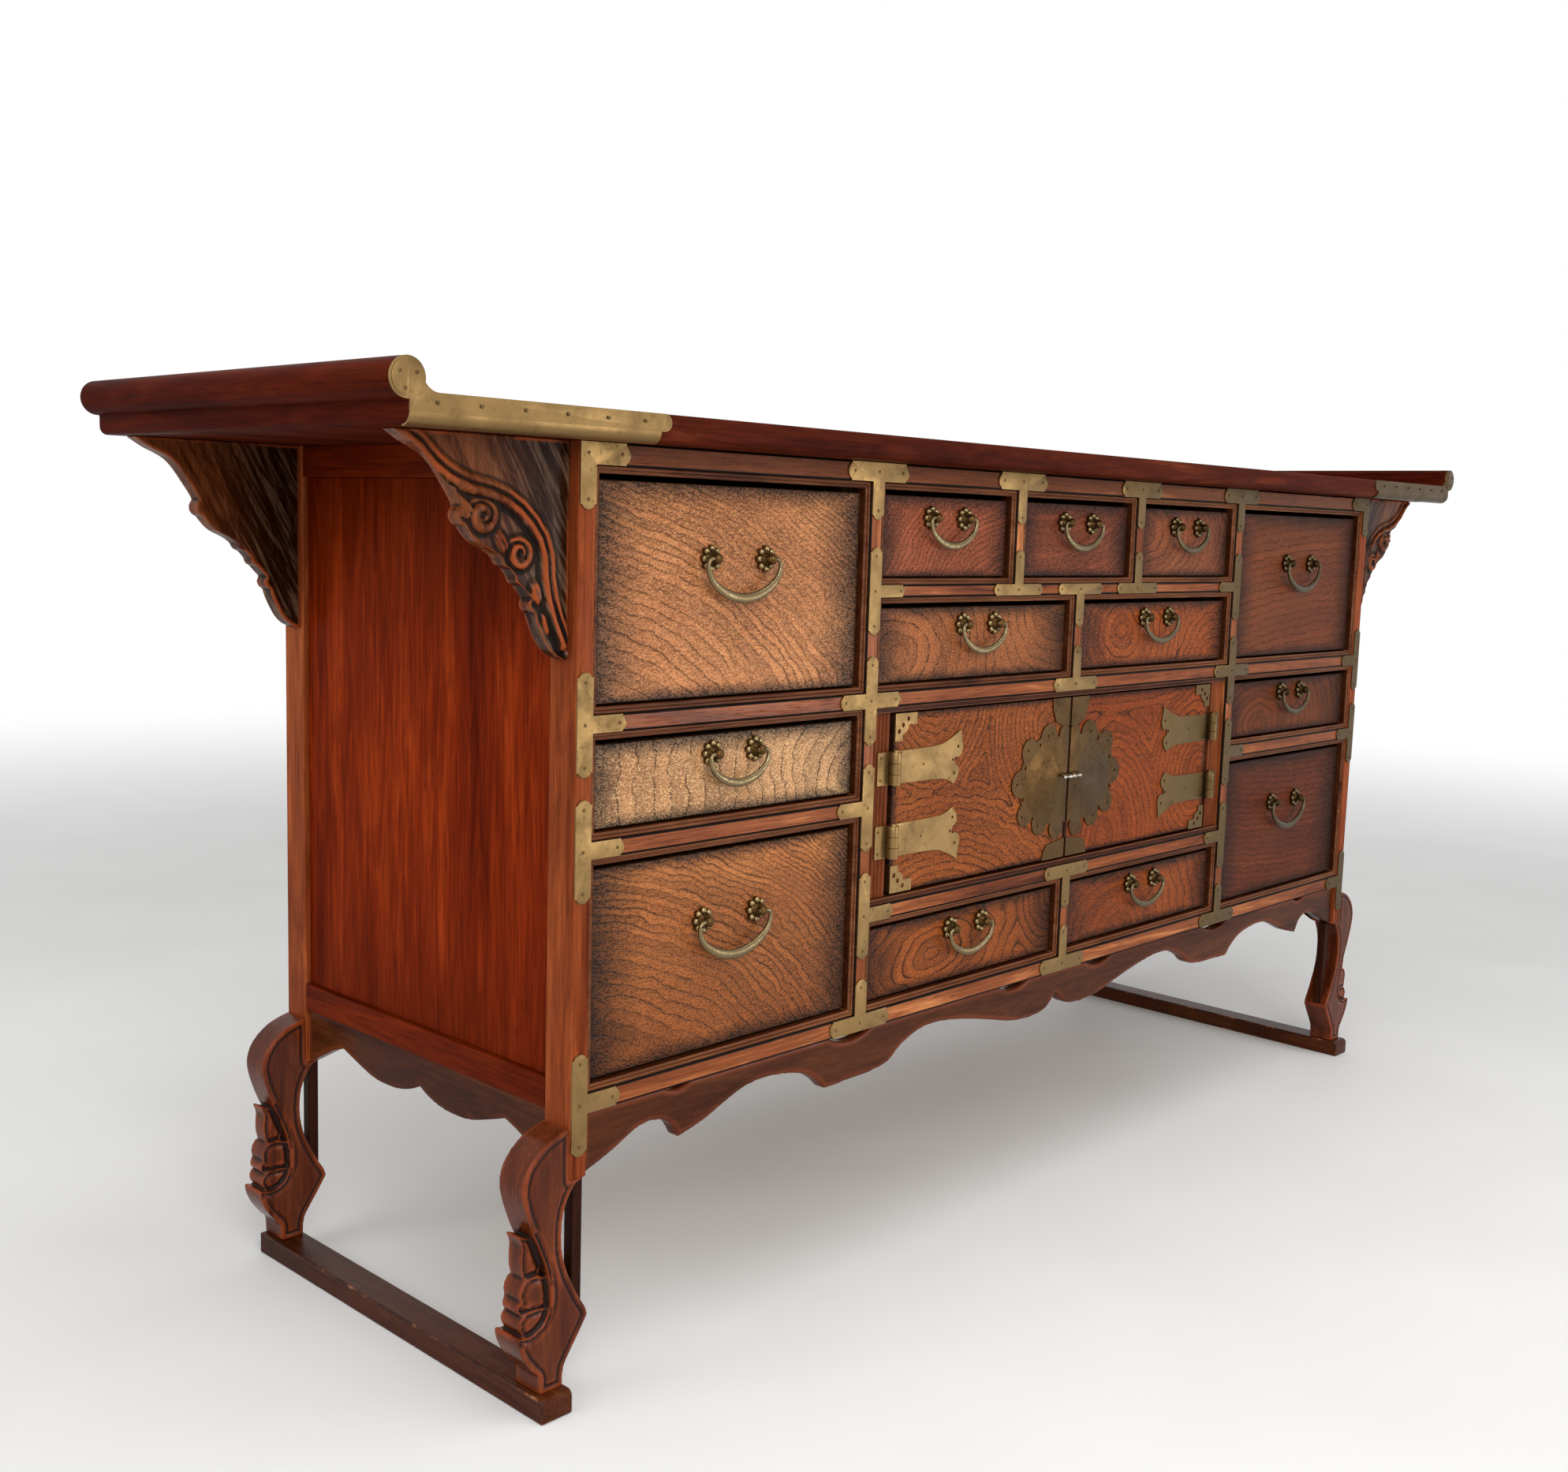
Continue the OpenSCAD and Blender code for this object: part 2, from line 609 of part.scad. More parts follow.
// Leaves on the outer side of a leg, the same way: outline, and how far each stays back from its faces
leg_leaves = [
    [spline([[46, 0.605], [37, 0.588], [28, 0.55], [24, 0.49], [27, 0.43], [35, 0.415], [41, 0.45],
        [43, 0.51], [42, 0.56], [46, 0.605]], 3), 7],
    [spline([[41, 0.435], [45.5, 0.40], [44, 0.36], [36, 0.335], [24, 0.335], [15, 0.37], [16, 0.41],
        [28, 0.44], [41, 0.435]], 3), 4],
    [spline([[45.5, 0.362], [48, 0.335], [42, 0.305], [30, 0.295], [16, 0.305], [15, 0.35], [28, 0.352],
        [38, 0.348], [45.5, 0.362]], 3), 5.5],
    [spline([[41, 0.318], [47, 0.29], [46, 0.255], [38, 0.228], [26, 0.235], [16, 0.27], [16, 0.30],
        [28, 0.318], [41, 0.318]], 3), 3]];

// The front of a leg, with its inner edge moved inwards by a gap
module leg_outline(gap = 0) translate([-case_w / 2, 0]) scale([-1, 1])
    polygon(concat(on_stand(leg_outer), [for (q = on_stand(leg_inner)) [q[0] - gap, q[1]]],
        [[0, post_foot_z]]));

module legs() color(side_wood) placed() both_sides() for (y = [0, case_d - post_d]) {
    groove = 1.2;
    difference() {
        standing(y, post_d) leg_outline();
        standing(y - 1, groove + 1) on_leg() for (edge = [leg_bow, leg_shin])
            ribbon(on_stand(edge), -4.6, -3);
    }
    for (leaf = leg_leaves) standing(y + leaf[1], post_d - 2 * leaf[1]) on_leg()
        polygon(on_stand(leaf[0]));
}

module on_leg() translate([-case_w / 2, 0]) scale([-1, 1]) children();

module floor_runners() color(frame_wood) placed() both_sides() difference() {
    inner = case_w / 2 + 1;
    round_r = 6;
    box(-inner - runner_w, -inner, -runner_front, case_d, 0, runner_h);
    translate([0, -runner_front, 0]) difference() {
        box(-inner - runner_w - 1, 1 - inner, -1, round_r, runner_h - round_r, runner_h + 1);
        translate([-inner - runner_w - 2, round_r, runner_h - round_r]) rotate([0, 90, 0])
            cylinder(r = round_r, h = runner_w + 4, $fn = 36);
    }
}

// Heights of the three knuckles of a hinge, from its lower end
knuckle_h = hinge_h / 3;
knuckle_space = 0.25;
hinge_zs = [door_mid_z - hinge_off - hinge_h / 2, door_mid_z + hinge_off - hinge_h / 2];

module barrel(z, h, r) translate([-hinge_x, hinge_y, z]) cylinder(r = r, h = h, $fn = 48);

// The leaf on the jamb, with the outer two knuckles and the pin
module case_hinge_leaves() color(brass) placed() both_sides() for (z = hinge_zs) {
    difference() {
        union() {
            box(-hinge_x - jamb_leaf, -hinge_x, door_inset - leaf_t, door_inset, z, z + hinge_h);
            barrel(z, knuckle_h - knuckle_space, knuckle_r);
            barrel(z + 2 * knuckle_h + knuckle_space, knuckle_h - knuckle_space, knuckle_r);
        }
        barrel(z + knuckle_h - knuckle_space, knuckle_h + 2 * knuckle_space, knuckle_r + 0.4);
        barrel(z - 1, hinge_h + 2, hinge_pin_r + pin_gap);
    }
    barrel(z, hinge_h, hinge_pin_r);
    barrel(z + hinge_h, 2, knuckle_r * 0.6);
}

// Outline of the strap as shares of its reach and of the hinge's height, with two horns and lobes
strap_low = spline([[0.3, -0.51], [0.55, -0.52], [0.74, -0.56], [0.88, -0.745]], 4);
strap_end = spline([[0.88, -0.745], [0.935, -0.53], [0.95, -0.33], [0.93, -0.2], [0.89, -0.1],
    [0.885, 0.1],
    [0.93, 0.08], [0.98, 0.16], [1, 0.38], [0.985, 0.62], [0.97, 0.95]], 4);
strap_top = spline([[0.97, 0.95], [0.83, 0.72], [0.68, 0.55], [0.5, 0.51], [0.3, 0.5]], 4);

// The leaf on the door: a flared strap, and the middle knuckle
module strap_leaf(z, up) {
    difference() {
        union() {
            translate([-hinge_x, 0, z + hinge_h / 2]) mirror([0, 0, up ? 0 : 1])
                standing(door_inset - leaf_t, leaf_t) difference() {
                    polygon(squeezed(concat([[0, -0.5]], strap_low, strap_end, strap_top, [[0, 0.5]]),
                        leaf_l, hinge_h));
                    for (c = [[0.86, 0.02], [0.93, 0.42], [0.885, -0.42]])
                        translate([c[0] * leaf_l, c[1] * hinge_h]) circle(1.6, $fn = 20);
                }
            barrel(z + knuckle_h + knuckle_space, knuckle_h - 2 * knuckle_space, knuckle_r);
        }
        barrel(z - hinge_h, knuckle_h + hinge_h, knuckle_r + 0.4);
        barrel(z + 2 * knuckle_h, knuckle_h + hinge_h, knuckle_r + 0.4);
        barrel(z - 1, hinge_h + 2, hinge_pin_r + pin_gap);
    }
}

// Half of the lobed lock plate, from the middle outwards, with a pierced eye between the lobes
module lock_half() {
    lobes = [[10, 50, 10], [40, 47, 16], [75, 34, 15], [92, 0, 15], [81, -35, 13], [52, -47, 14],
        [20, -57, 12]];
    difference() {
        union() {
            translate([0, -50]) square([50, 98]);
            translate([43, 0]) circle(50, $fn = 72);
            for (c = lobes) translate([c[0], c[1]]) circle(c[2], $fn = 36);
        }
        translate([-60, -80]) square([60 + meet_gap, 160]);
        for (i = [1 : len(lobes) - 2]) {
            eye = (lobes[i] + lobes[i + 1]) * 0.5;
            translate([eye[0], eye[1]]) circle(2.2, $fn = 24);
        }
        for (c = lobes) if (c[0] > 30) translate([c[0] * 1.06, c[1] * 1.06]) circle(1.4, $fn = 20);
    }
}

module door_plates() {
    for (i = [0, 1]) strap_leaf(hinge_zs[i], i == 1);
    door_low = door_bay_z + door_gap;
    door_top = side_mid_top - door_gap;
    standing(door_inset - leaf_t, leaf_t) translate([0, door_mid_z]) scale([-1, 1]) lock_half();
    // Pierced plates on the outer corners and plain ones beside the meeting edge
    for (c = [[door_low, 1], [door_top, -1]]) {
        standing(door_inset - leaf_t, leaf_t) translate([-door_x, c[0]]) scale([1, c[1]]) difference() {
            union() {
                square([34, 12]);
                square([12, 28]);
                translate([12, 12]) circle(9, $fn = 30);
            }
            for (q = [[20, 6], [6, 18], [12, 12]]) translate(q) circle(2.4, $fn = 24);
        }
        standing(door_inset - leaf_t, leaf_t) translate([-meet_gap, c[0]]) scale([-1, c[1]])
            polygon(c[1] > 0 ? [[0, 0], [42, 0], [40, 9], [34, 17], [0, 22]]
                : [[0, 0], [34, 0], [33, 12], [26, 26], [12, 32], [0, 32]]);
    }
    // The staple at the meeting edge
    translate([-10, door_inset - leaf_t, door_mid_z + 4]) rotate([0, 0, 180])
        rotate_extrude(angle = 180, $fn = 36) translate([6, 0]) circle(1.6, $fn = 20);
}

module door_panel() box(-door_x, -meet_gap / 2, door_inset, door_inset + door_t,
    door_bay_z + door_gap, side_mid_top - door_gap);

module door_left() color(front_wood) placed() door_panel();
module door_right() color(front_wood) placed() mirror([1, 0, 0]) door_panel();
module door_plates_left() color(dark_brass) placed() door_plates();
module door_plates_right() color(dark_brass) placed() mirror([1, 0, 0]) door_plates();

// A drawer: its front, two sides, back and bottom
module drawer(b) color(front_wood) placed() {
    x0 = b[0] + gap_side;
    x1 = b[1] - gap_side;
    z0 = b[2] + gap_low;
    z1 = b[3] - gap_top;
    y1 = front_inset + front_t;
    y2 = front_inset + drawer_l;
    top = z1 - side_drop;
    box(x0, x1, front_inset, y1, z0, z1);
    box(x0, x0 + box_t, y1 + glue_gap, y2, z0, top);
    box(x1 - box_t, x1, y1 + glue_gap, y2, z0, top);
    box(x0 + box_t + glue_gap, x1 - box_t - glue_gap, y2 - box_t, y2, z0, top);
    box(x0 + box_t + glue_gap, x1 - box_t - glue_gap, y1 + glue_gap, y2 - box_t - glue_gap,
        z0 + base_up, z0 + base_up + base_t);
}

function pull_x(b) = (b[0] + b[1]) / 2;
function pull_half(b) = (b[4] ? pull_big_w : pull_small_w) / 2;
function pull_z(b) = (b[2] + gap_low + b[3] - gap_top) / 2 + (b[4] ? pull_big_up : pull_small_up);
pivot_y = front_inset - pivot_out;

// The two rosettes of a pull, each with a stem and a ball that is bored for the bail
module rosettes(b) color(dark_brass) placed()
    for (s = [-1, 1]) translate([pull_x(b) + s * pull_half(b), 0, pull_z(b)]) difference() {
        petals = 8;
        petal_r = rosette_r * 0.25;
        flower_t = 2.5;
        union() {
            standing(front_inset - flower_t, flower_t) {
                circle(rosette_r - petal_r, $fn = 36);
                for (i = [0 : petals - 1]) rotate(i * 360 / petals)
                    translate([rosette_r - petal_r, 0]) circle(petal_r, $fn = 18);
            }
            translate([0, front_inset - flower_t, 0]) rotate([90, 0, 0])
                cylinder(r1 = rosette_r * 0.5, r2 = rosette_r * 0.25, h = pivot_out - flower_t - 3.5,
                    $fn = 36);
            translate([0, pivot_y, 0]) rotate([0, 0, -90]) sphere(ball_r, $fn = 36);
        }
        translate([-2 * ball_r, pivot_y, 0]) rotate([0, 90, 0])
            cylinder(r = bail_pin_r + pin_gap, h = 4 * ball_r, $fn = 36);
    }

// An arc of round rod in the plane of a bail, about a middle, from one angle through a sweep
module rod_arc(x, z, radius, rod_r, from, sweep) translate([x, 0, z]) rotate([90, 0, 0]) rotate(from)
    rotate_extrude(angle = sweep, $fn = 96) translate([radius, 0]) circle(rod_r, $fn = 24);

// A bail: end pins, shoulders, side bows and the deep lower bow, each a little thicker than the last
module bail(b) color(brass) placed() translate([pull_x(b), pivot_y, pull_z(b)]) {
    post_half = pull_half(b);
    half = post_half + (b[4] ? 11 : 9.5);
    end_r = b[4] ? 5.5 : 4.2;
    side_r = b[4] ? 20 : 16;
    low_angle = 50;
    low_r = side_r + (half - side_r) / cos(low_angle);
    low_z = (half - side_r) * tan(low_angle) - end_r;
    thin_r = bail_r * 0.8;
    overlap = 3;
    rod_arc(0, low_z, low_r, bail_r, 180 + low_angle - overlap, 180 - 2 * (low_angle - overlap));
    for (s = [0, 1]) mirror([s, 0, 0]) {
        rod_arc(half - end_r, -end_r, end_r, bail_pin_r, 0, 90);
        rod_arc(half - side_r, -end_r, side_r, thin_r, -low_angle, low_angle + 2 * overlap);
        translate([post_half - ball_r - 1, 0, 0]) rotate([0, 90, 0])
            cylinder(r = bail_pin_r, h = half - end_r - post_half + ball_r + 1, $fn = 36);
    }
}

corner_posts();
side_and_back_rails();
case_panels();
front_rails();
front_stiles();
door_jambs();
opening_mouldings();
inner_boards();
drawer_guides();
top_board();
top_plates();
frame_plates();
corner_brackets();
aprons();
legs();
floor_runners();
case_hinge_leaves();
door_left();
door_right();
door_plates_left();
door_plates_right();
drawer(left_top);  // drawer_left_top
rosettes(left_top);  // rosettes_left_top
bail(left_top);  // bail_left_top
drawer(left_mid);  // drawer_left_mid
rosettes(left_mid);  // rosettes_left_mid
bail(left_mid);  // bail_left_mid
drawer(left_low);  // drawer_left_low
rosettes(left_low);  // rosettes_left_low
bail(left_low);  // bail_left_low
drawer(right_top);  // drawer_right_top
rosettes(right_top);  // rosettes_right_top
bail(right_top);  // bail_right_top
drawer(right_mid);  // drawer_right_mid
rosettes(right_mid);  // rosettes_right_mid
bail(right_mid);  // bail_right_mid
drawer(right_low);  // drawer_right_low
rosettes(right_low);  // rosettes_right_low
bail(right_low);  // bail_right_low
drawer(small_left);  // drawer_small_left
rosettes(small_left);  // rosettes_small_left
bail(small_left);  // bail_small_left
drawer(small_mid);  // drawer_small_mid
rosettes(small_mid);  // rosettes_small_mid
bail(small_mid);  // bail_small_mid
drawer(small_right);  // drawer_small_right
rosettes(small_right);  // rosettes_small_right
bail(small_right);  // bail_small_right
drawer(pair_left);  // drawer_pair_left
rosettes(pair_left);  // rosettes_pair_left
bail(pair_left);  // bail_pair_left
drawer(pair_right);  // drawer_pair_right
rosettes(pair_right);  // rosettes_pair_right
bail(pair_right);  // bail_pair_right
drawer(low_left);  // drawer_low_left
rosettes(low_left);  // rosettes_low_left
bail(low_left);  // bail_low_left
drawer(low_right);  // drawer_low_right
rosettes(low_right);  // rosettes_low_right
bail(low_right);  // bail_low_right
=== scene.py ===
"""Pagoda sideboard: its woods, brasswork, carving and soft studio light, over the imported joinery."""
import json
import math

import bmesh
import bpy
import numpy as np
from bpy.props import FloatProperty, FloatVectorProperty, PointerProperty
from mathutils import Matrix, Vector
from mathutils.kdtree import KDTree

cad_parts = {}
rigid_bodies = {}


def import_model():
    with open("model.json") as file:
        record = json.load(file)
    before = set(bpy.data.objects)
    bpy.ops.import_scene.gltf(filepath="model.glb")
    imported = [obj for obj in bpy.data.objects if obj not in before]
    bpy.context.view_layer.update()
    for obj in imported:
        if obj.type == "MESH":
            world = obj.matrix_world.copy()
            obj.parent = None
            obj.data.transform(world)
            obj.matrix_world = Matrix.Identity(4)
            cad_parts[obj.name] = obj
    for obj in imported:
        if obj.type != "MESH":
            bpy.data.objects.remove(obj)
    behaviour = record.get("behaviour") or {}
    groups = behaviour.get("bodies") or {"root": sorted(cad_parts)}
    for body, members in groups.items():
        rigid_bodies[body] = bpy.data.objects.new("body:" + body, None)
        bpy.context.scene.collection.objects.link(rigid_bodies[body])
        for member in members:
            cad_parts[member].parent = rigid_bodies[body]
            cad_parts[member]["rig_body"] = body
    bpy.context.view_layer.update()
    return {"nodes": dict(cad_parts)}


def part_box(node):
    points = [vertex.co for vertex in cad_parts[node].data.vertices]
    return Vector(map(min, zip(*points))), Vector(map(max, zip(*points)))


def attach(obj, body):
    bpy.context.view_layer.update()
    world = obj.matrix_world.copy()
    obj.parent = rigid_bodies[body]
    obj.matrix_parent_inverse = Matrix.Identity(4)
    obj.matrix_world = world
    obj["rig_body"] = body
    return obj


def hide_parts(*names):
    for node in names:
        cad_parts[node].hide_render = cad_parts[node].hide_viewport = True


bl_info = {
    "name": "Pagoda Sideboard",
    "version": (1, 0, 0),
    "blender": (4, 5, 0),
    "location": "3D View > Sidebar > Sideboard",
    "description": "Finishes a pagoda sideboard of elm and red-brown hardwood with brass mounts",
    "category": "Add Mesh",
}

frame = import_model()
NODES = frame["nodes"]
MM = 0.001
CASE_FRONT = -205.5 * MM
WELD = 2e-6  # points nearer than this are joined up
SHARP_ANGLE = math.radians(32)
FLAT_ANGLE = math.radians(0.4)  # faces that turn less than this are one face
EXTRA = 3  # index of the material that follows a wood's three grain directions
SPREAD = 6  # rounds of averaging between which hollows and ridges are told apart
CARVING_DEPTH = 0.35 * MM  # hollow that counts as fully carved in
ROUND_SIDES = 20  # points round a turned or drawn brass piece


# Colours

def shade(code):
    """A web colour as the linear colour that a shader takes."""
    parts = [int(code[i:i + 2], 16) / 255 for i in (1, 3, 5)]
    return tuple(c / 12.92 if c <= 0.04045 else ((c + 0.055) / 1.055) ** 2.4 for c in parts) + (1.0,)


def deeper(colour, factor):
    """The same colour, darker or paler."""
    return tuple(min(1.0, c * factor) for c in colour[:3]) + (1.0,)


def warmer(colour, factor):
    """The same stain, paler and more orange, or darker and redder."""
    return tuple(min(1.0, c * factor ** bend) for c, bend in zip(colour, (1.0, 1.35, 1.5))) + (1.0,)


# Node helpers

class Value:
    """What a node gives. Arithmetic with it adds the Math nodes."""

    def __init__(self, nodes, socket):
        self.nodes, self.socket = nodes, socket

    def __add__(self, other):
        return self.nodes.calc("ADD", self, other)

    def __sub__(self, other):
        return self.nodes.calc("SUBTRACT", self, other)

    def __rsub__(self, other):
        return self.nodes.calc("SUBTRACT", other, self)

    def __mul__(self, other):
        return self.nodes.calc("MULTIPLY", self, other)

    def __truediv__(self, other):
        return self.nodes.calc("DIVIDE", self, other)

    def __pow__(self, other):
        return self.nodes.calc("POWER", self, other)


class Nodes:
    """A node tree, filled in the order in which its result is built up."""

    def __init__(self, tree):
        self.tree = tree
        tree.nodes.clear()

    def add(self, kind, values=None, **settings):
        node = self.tree.nodes.new(kind)
        for key, value in settings.items():
            setattr(node, key, value)
        for key, value in (values or {}).items():
            self.feed(node.inputs[key], value)
        return node

    def get(self, kind, values=None, output=0, **settings):
        """One output of a new node."""
        return Value(self, self.add(kind, values, **settings).outputs[output])

    def feed(self, socket, value):
        value = value.socket if isinstance(value, Value) else value
        if isinstance(value, bpy.types.NodeSocket):
            self.tree.links.new(value, socket)
        else:
            socket.default_value = value

    def calc(self, operation, a, b=0.0, c=0.0):
        """What a Math node gives."""
        return self.get("ShaderNodeMath", {0: a, 1: b, 2: c}, operation=operation)

    def length(self, a, b):
        return self.calc("SQRT", a * a + b * b)

    def seen(self):
        """1 where the camera sees a surface, straight, mirrored or through glass."""
        rays = self.add("ShaderNodeLightPath").outputs
        direct = self.calc("MAXIMUM", rays["Is Camera Ray"], rays["Is Glossy Ray"])
        return self.calc("MAXIMUM", direct, rays["Is Transmission Ray"])


class Recipe(Nodes):
    """One material's nodes."""

    def __init__(self, name):
        self.material = bpy.data.materials.new(name)
        self.material.use_nodes = True
        super().__init__(self.material.node_tree)
        self.shader = self.add("ShaderNodeBsdfPrincipled")
        self.output = self.add("ShaderNodeOutputMaterial", {"Surface": self.shader.outputs[0]})
        self.place = self.get("ShaderNodeTexCoord", output="Object")

    def axes(self):
        parts = self.add("ShaderNodeSeparateXYZ", {0: self.place}).outputs
        return [Value(self, part) for part in parts]

    def noise(self, vector, scale=1.0, detail=3, rough=0.5, twist=0.0):
        return self.get("ShaderNodeTexNoise", {
            "Vector": vector, "Scale": scale, "Detail": detail, "Roughness": rough, "Distortion": twist})

    def grain(self, stretch, shift=(0, 0, 0), detail=3, rough=0.5, twist=0.0, turn=(0, 0, 0)):
        """Noise over the piece's own coordinates, shifted, turned and stretched along the grain."""
        place = self.get("ShaderNodeMapping", {
            "Vector": self.place, "Location": shift, "Rotation": turn, "Scale": stretch})
        return self.noise(place, 1.0, detail, rough, twist)

    def between(self, value, low, high, to_low=0.0, to_high=1.0, smooth=True):
        kind = "SMOOTHSTEP" if smooth else "LINEAR"
        return self.get("ShaderNodeMapRange", {
            "Value": value, "From Min": low, "From Max": high, "To Min": to_low, "To Max": to_high},
            interpolation_type=kind)

    def ramp(self, value, stops):
        node = self.add("ShaderNodeValToRGB", {"Fac": value})
        band = node.color_ramp
        while len(band.elements) < len(stops):
            band.elements.new(0.5)
        for element, (position, colour) in zip(band.elements, stops):
            element.position = position
            element.color = colour
        return node.outputs[0]

    def blend(self, factor, a, b, mode="MIX"):
        return self.get("ShaderNodeMix", {0: factor, 6: a, 7: b}, 2, data_type="RGBA", blend_type=mode)

    def shaded(self, colour, value):
        """The colour times a grey of the given value."""
        grey = self.get("ShaderNodeCombineColor", {0: value, 1: value, 2: value})
        return self.blend(1.0, colour, grey, "MULTIPLY")

    def done(self, colour, rough, height=None, depth=0.0004, metal=0.0, strength=0.5, sheen=0.22):
        self.feed(self.shader.inputs["Base Color"], colour)
        self.feed(self.shader.inputs["Roughness"], rough)
        self.shader.inputs["Metallic"].default_value = metal
        self.shader.inputs["Specular IOR Level"].default_value = sheen
        if height is not None:
            bump = self.get("ShaderNodeBump", {"Height": height, "Distance": depth, "Strength": strength})
            self.feed(self.shader.inputs["Normal"], bump)
        return self.material


# Woods and brass

def board_wood(name, colour, along, seed=0, dark=0.34, light=1.5, gloss=0.36, streak=1.0, sheen=0.06,
               soot=0.0, shadow=()):
    """Stained hardwood: broad streaks, fine fibres and pores along one axis, and soot in broad clouds.
    shadow: heights over which a painted shadow darkens the wood."""
    r = Recipe(name)
    shift = (seed * 1.37, seed * 2.11, seed * 0.73)

    def fibres(across, lengthwise, *more):
        return r.grain(tuple(lengthwise if axis == along else across for axis in "XYZ"), shift, *more)

    broad = fibres(17.1, 1.9, 4, 0.55, 0.7)
    rings = fibres(63, 7, 5, 0.6, 1.2)
    fibre = fibres(495, 14, 3, 0.6)
    open_pore = r.between(fibres(990, 40, 2, 0.5), 0.60, 0.74)
    stains = [(0.33, warmer(colour, dark)), (0.45, warmer(colour, 0.74)), (0.54, colour),
              (0.68, warmer(colour, light))]
    stained = r.ramp(broad * 0.5 + rings * 0.5, stains)
    grey = r.between(fibre, 0.28, 0.72, 1.0 - 0.34 * streak, 1.0 + 0.2 * streak, False)
    stained = r.shaded(stained, grey)
    stained = r.blend(open_pore * (0.6 * streak), stained, deeper(colour, 0.15))
    if soot:
        cloud = r.grain((6, 6, 6), shift, 4, 0.6)
        stained = r.blend(r.between(cloud, 0.45, 0.7, 0.0, soot), stained, deeper(colour, 0.12))
    # painted shadow: the wood darkens towards the end of each span of heights
    for start, end in shadow:
        stained = r.blend(r.between(r.axes()[2], start, end, 0.0, 0.5), stained, deeper(colour, 0.3))
    rough = r.between(fibre, 0.2, 0.8, gloss - 0.05, gloss + 0.12)
    return r.done(stained, rough, fibre * 0.5 - open_pore, 0.00035, sheen=sheen)


def woods(name, colour, **more):
    """The same wood with its grain along X, Y and Z."""
    return [board_wood(name + "_" + axis.lower(), colour, axis, seed=i + 1, **more)
            for i, axis in enumerate("XYZ")]


def rubbed_edge():
    """Dark edges that are worn through to paler wood here and there."""
    r = Recipe("rubbed_edge")
    spots = r.noise(r.place, 38.0, 5.0, 0.65, 0.4)
    fibre = r.noise(r.place, 320.0, 3.0, 0.6)
    stains = zip((0.42, 0.55, 0.62, 0.75), map(shade, ("#2c140c", "#4a2516", "#8a5b3e", "#b08a68")))
    stained = r.ramp(spots * 0.8 + fibre * 0.2, list(stains))
    return r.done(stained, 0.36, fibre, 0.0003, strength=0.6, sheen=0.15)


ELM_GLOSS = 0.38
EDGE_SHADE_REACH = 1.6  # share of an edge's width over which its painted shade still reaches a little
RING_LINE = (2.4 * MM, 0.7 * MM)  # distance from a ring over which its dark line sets in
GLARE_AND_SHADE_RAMP = [(0.2, (0.78, 0.68, 0.58, 1)), (0.5, (1, 1, 1, 1)), (0.62, (1.2, 1.27, 1.32, 1)),
         (0.8, (2.2, 2.7, 3.1, 1))]


